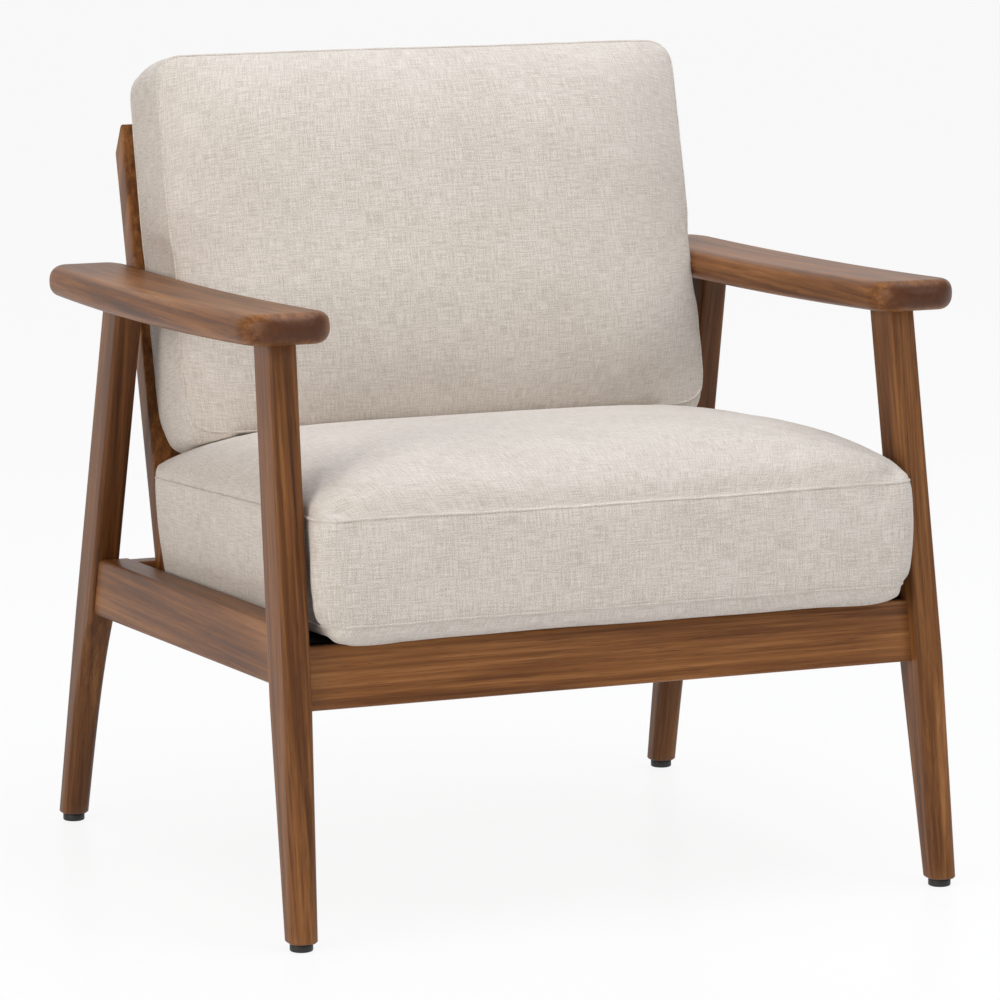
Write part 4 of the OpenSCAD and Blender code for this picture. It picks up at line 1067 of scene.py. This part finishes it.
def make_cushion(name, cushion, space, body, clear, cover_node, foam_node):
    """Makes a whole cushion and gives back its linen and the surface of its cover."""
    cover = skin(name, cushion_rings(cushion))
    crisp(cover, 180)
    fill_with_foam(cover, cushion)
    normals = [v.normal.copy() for v in cover.data.vertices]
    for vertex, outward in zip(cover.data.vertices, normals):
        vertex.co += outward * wrinkle(*(vertex.co / MM)) * MM
    tuck(cover, cushion)
    for vertex in cover.data.vertices:
        vertex.co = clear(vertex.co / MM) * MM
    foam_core(f"{name}_foam_core", cover, space, body, foam_node)
    bpy.context.view_layer.objects.active = cover
    rounder = cover.modifiers.new("rounder", "SUBSURF")
    rounder.levels = rounder.render_levels = 1
    bpy.ops.object.modifier_apply(modifier="rounder")
    crisp(cover, 180)
    cloth = linen(f"{name}_oatmeal", cushion, space)
    tree = BVHTree.FromObject(cover, bpy.context.evaluated_depsgraph_get())
    seam(f"{name}_upper_seam", cushion, True, tree, cloth, space, body)
    seam(f"{name}_lower_seam", cushion, False, tree, cloth, space, body)
    cover.data.transform(space_metres(space))
    dress(cover, cloth, body, "linen", cover_node)
    return cloth, BVHTree.FromObject(cover, bpy.context.evaluated_depsgraph_get())


def space_metres(space):
    scaled = space.copy()
    scaled.translation = space.translation * MM
    return scaled


foam_surface = speckled("seat_foam_cells", [(0.0, (0.74, 0.68, 0.48)), (1.0, (0.86, 0.81, 0.62))], 0.95,
                        (0.4, 0.0005), "ShaderNodeTexVoronoi", "Distance", Scale=900.0)
seat_cushion = {"w": SEAT_W, "low_w": SEAT_LOW_W, "d": SEAT_DEPTH, "corner": 19.0, "band": SEAT_BAND,
                "crown": SEAT_CROWN, "base_crown": SEAT_BASE_CROWN, "bow": 6.0, "bulge": BAND_BULGE,
                "top_form": SEAT_TOP_FORM, "under_form": SEAT_UNDER_FORM, "voxel": 6.0, "slack": 2.0,
                "rear_corner": SEAT_REAR_CORNER, "overhang": SEAT_OVERHANG, "side_swell": 3.5, "hang": 0.28,
                "low_rounding": 0.5, "low_taper": 0.45,
                "pressure": 4.0, "mass": 0.03, "tension": 15.0, "bending": 0.5, "cap": 24.0,
                "give": 0.3, "pucker": 8.0}
RAIL_CLEAR_LOW = 300.5
RAIL_CLEAR_HIGH = 309.8
LEG_CLEAR = 314.5


def clear_of_seat(spot):
    """Keeps the seat cushion off the deck, the rails and the legs, and under the back cushion."""
    x, y, z = spot
    if y > -SEAT_OVERHANG - 2:
        z = max(z, -SEAT_BASE_CROWN)
    if y > 60 and z > SEAT_BAND:
        z = min(z, SEAT_BAND + panel_rise(seat_cushion, x, y, True) + 0.2)
    between_rails = RAIL_CLEAR_LOW if z < 16 else min(RAIL_CLEAR_HIGH, RAIL_CLEAR_LOW + (z - 16) * 0.45)
    widest = between_rails + (LEG_CLEAR - between_rails) * eased(-y, SEAT_OVERHANG, SEAT_OVERHANG + 14)
    return Vector((max(-widest, min(widest, x)), min(y, SEAT_DEPTH / 2 + 2.4), z))


seat_linen, seat_tree = make_cushion("seat_cushion_linen_cover", seat_cushion, seat_space, "seat_cushion",
                                     clear_of_seat, "seat_cover", "seat_foam")

# The back cushion: made as the seat cushion, with a 96 mm band. It stands on the rear of
# the seat and leans on the slats, so its rear panel lies flatter than its front one. Its face
# swells past the arms, which pinch it, and its lower corners hang down behind the seat's crown.
CUSHION_LEAN = math.radians(13.5)
BACK_W = 556.0
BACK_FACE_W = 570.0
BACK_H = 377.0
BACK_BAND = 96.0
BACK_CROWN = 36.0
BACK_REAR_CROWN = 15.0
BACK_BULGE = 3.0
BACK_RISE = 3.2
BACK_FACE_FORM = (4.8, 0.85, 4.8, 0.85)
BACK_REAR_FORM = (3.2, 0.45, 3.2, 0.45)
ARM_LEVEL = 569.0
PINCHED_HALF_W = 281.0
PAST_ARM_SWELL = 8.0
CORNER_HANG = 14.0
SEAT_TOP_GAP = 0.9


def seat_top_z(y):
    v = (y - FRONT_RAIL_Y) / math.cos(DECK_RAKE)
    share = (v - SEAT_MID) / (SEAT_DEPTH / 2)
    return (FRONT_RAIL_TOP + 2 * SOFT_GAP - v * math.sin(DECK_RAKE)
            + (SEAT_BASE_CROWN + SEAT_BAND + SEAT_CROWN * crown_along(share, SEAT_TOP_FORM))
            * math.cos(DECK_RAKE))


lean_gap = BACK_LEAN - CUSHION_LEAN
back_foot_u = (SLAT_BACK - SLAT_T - SOFT_GAP + BACK_H / 4 * math.sin(lean_gap)
               - (BACK_BAND + BACK_REAR_CROWN * crown_along(0.5, BACK_REAR_FORM)) * math.cos(lean_gap))


def back_foot_y(z):
    v = (z - REAR_RAIL_TOP + back_foot_u * math.sin(BACK_LEAN)) / math.cos(BACK_LEAN)
    return on_back(v, back_foot_u)[0]


back_foot_guess = back_foot_y(seat_top_z(SEAT_MID / 2))
back_foot_z = seat_top_z(back_foot_guess) + SOFT_GAP + BACK_RISE
cushion_back_space = (Matrix.Translation(Vector((0, back_foot_y(back_foot_z), back_foot_z)))
                      @ Matrix.Rotation(-CUSHION_LEAN, 4, "X"))
back_panel_space = (cushion_back_space @ Matrix.Translation(Vector((0, BACK_BAND, BACK_H / 2)))
                    @ Matrix.Rotation(math.radians(90), 4, "X"))
from_back_panel = back_panel_space.inverted()
back_cushion = {**seat_cushion, "w": BACK_FACE_W, "low_w": BACK_W, "d": BACK_H, "corner": 30.0,
                "rear_corner": 30.0, "band": BACK_BAND, "crown": BACK_CROWN, "base_crown": BACK_REAR_CROWN,
                "bow": 0.0, "bulge": BACK_BULGE, "side_swell": 0.0, "hang": 0.0, "low_rounding": 0.0,
                "top_form": BACK_FACE_FORM, "under_form": BACK_REAR_FORM, "voxel": 5.5, "pucker": 1.5}


def clear_of_back(spot):
    """Keeps the back cushion off the slats, the arms and the seat, whose top it rests on."""
    x, y, z = spot
    from_arm = abs((back_panel_space @ spot).z - ARM_LEVEL)
    widest = PINCHED_HALF_W + PAST_ARM_SWELL * eased(from_arm, 28, 62)
    x = max(-widest, min(widest, x))
    y = max(y, -BACK_H / 2 - BACK_BULGE - 0.2)
    low = eased(-y, BACK_H / 2 - 26, BACK_H / 2 - 4)
    off_zip = max(eased(z, 68, 80) * 0.25, eased(abs(x), 222, 246))
    hung = Vector((x, y - CORNER_HANG * low * off_zip, max(z, -BACK_REAR_CROWN)))
    if low == 0:
        return hung
    placed = back_panel_space @ hung
    seat_point = seat_tree.ray_cast(Vector((placed.x, placed.y, 600)) * MM, Vector((0, 0, -1)))[0]
    if seat_point:
        placed.z = max(placed.z, seat_point.z / MM + SEAT_TOP_GAP)
    return from_back_panel @ placed


back_linen = make_cushion("back_cushion_linen_cover", back_cushion, back_panel_space, "back_cushion",
                          clear_of_back, "back_cover", "back_foam")[0]

# The zips: each cover closes with a zip sewn over a slot in its band, at the rear of the
# seat cushion and under the back cushion. The tape is linen-coloured and the slider brass.
ZIP_LEN = 440.0
ZIP_TAPE_W = 24.0
TAPE_T = 0.8
TAPE_GAP = 0.2
TEETH_W = 5.0
TEETH_T = 1.0
TEETH_END = 6.0
BACK_ZIP_SHIFT = 5.0


def zip_tape(name, space, body, cloth, node):
    points, faces = [], []

    def brick(x0, x1, y0, y1, z0, z1):
        base = len(points)
        points.extend(space_metres(space) @ (Vector((x, y, z)) * MM)
                      for z in (z0, z1) for y in (y0, y1) for x in (x0, x1))
        faces.extend(tuple(base + i for i in face) for face in
                     ((0, 2, 3, 1), (4, 5, 7, 6), (0, 1, 5, 4), (2, 6, 7, 3), (0, 4, 6, 2), (1, 3, 7, 5)))

    brick(-ZIP_LEN / 2, ZIP_LEN / 2, -ZIP_TAPE_W / 2, ZIP_TAPE_W / 2, 0, TAPE_T)
    tooth = 1.5
    overlap = 0.9
    for k in range(int((ZIP_LEN / 2 - TEETH_END) / tooth)):
        start = -ZIP_LEN / 2 + TEETH_END + 2 * tooth * k
        brick(start, start + tooth, -TEETH_W / 2, overlap, TAPE_T, TAPE_T + TEETH_T)
        brick(start + tooth, start + 2 * tooth, -overlap, TEETH_W / 2, TAPE_T, TAPE_T + TEETH_T)
    dress(crisp(mesh_object(name, points, faces)), cloth, body, "zip_tape", node)


seat_zip_space = (seat_space
                  @ Matrix.Translation(Vector((0, SEAT_DEPTH / 2 + BAND_BULGE + TAPE_GAP, SEAT_BAND / 2)))
                  @ Matrix.Rotation(math.radians(-90), 4, "X"))
back_zip_space = (cushion_back_space
                  @ Matrix.Translation(Vector((0, BACK_BAND / 2 + BACK_ZIP_SHIFT, -BACK_BULGE - TAPE_GAP)))
                  @ Matrix.Rotation(math.radians(180), 4, "X"))
zip_tape("seat_cushion_zip_tape", seat_zip_space, "seat_cushion", seat_linen, "seat_zip")
zip_tape("back_cushion_zip_tape", back_zip_space, "back_cushion", back_linen, "back_zip")
finish_node(brass, "seat_zip_slider", "back_zip_slider")
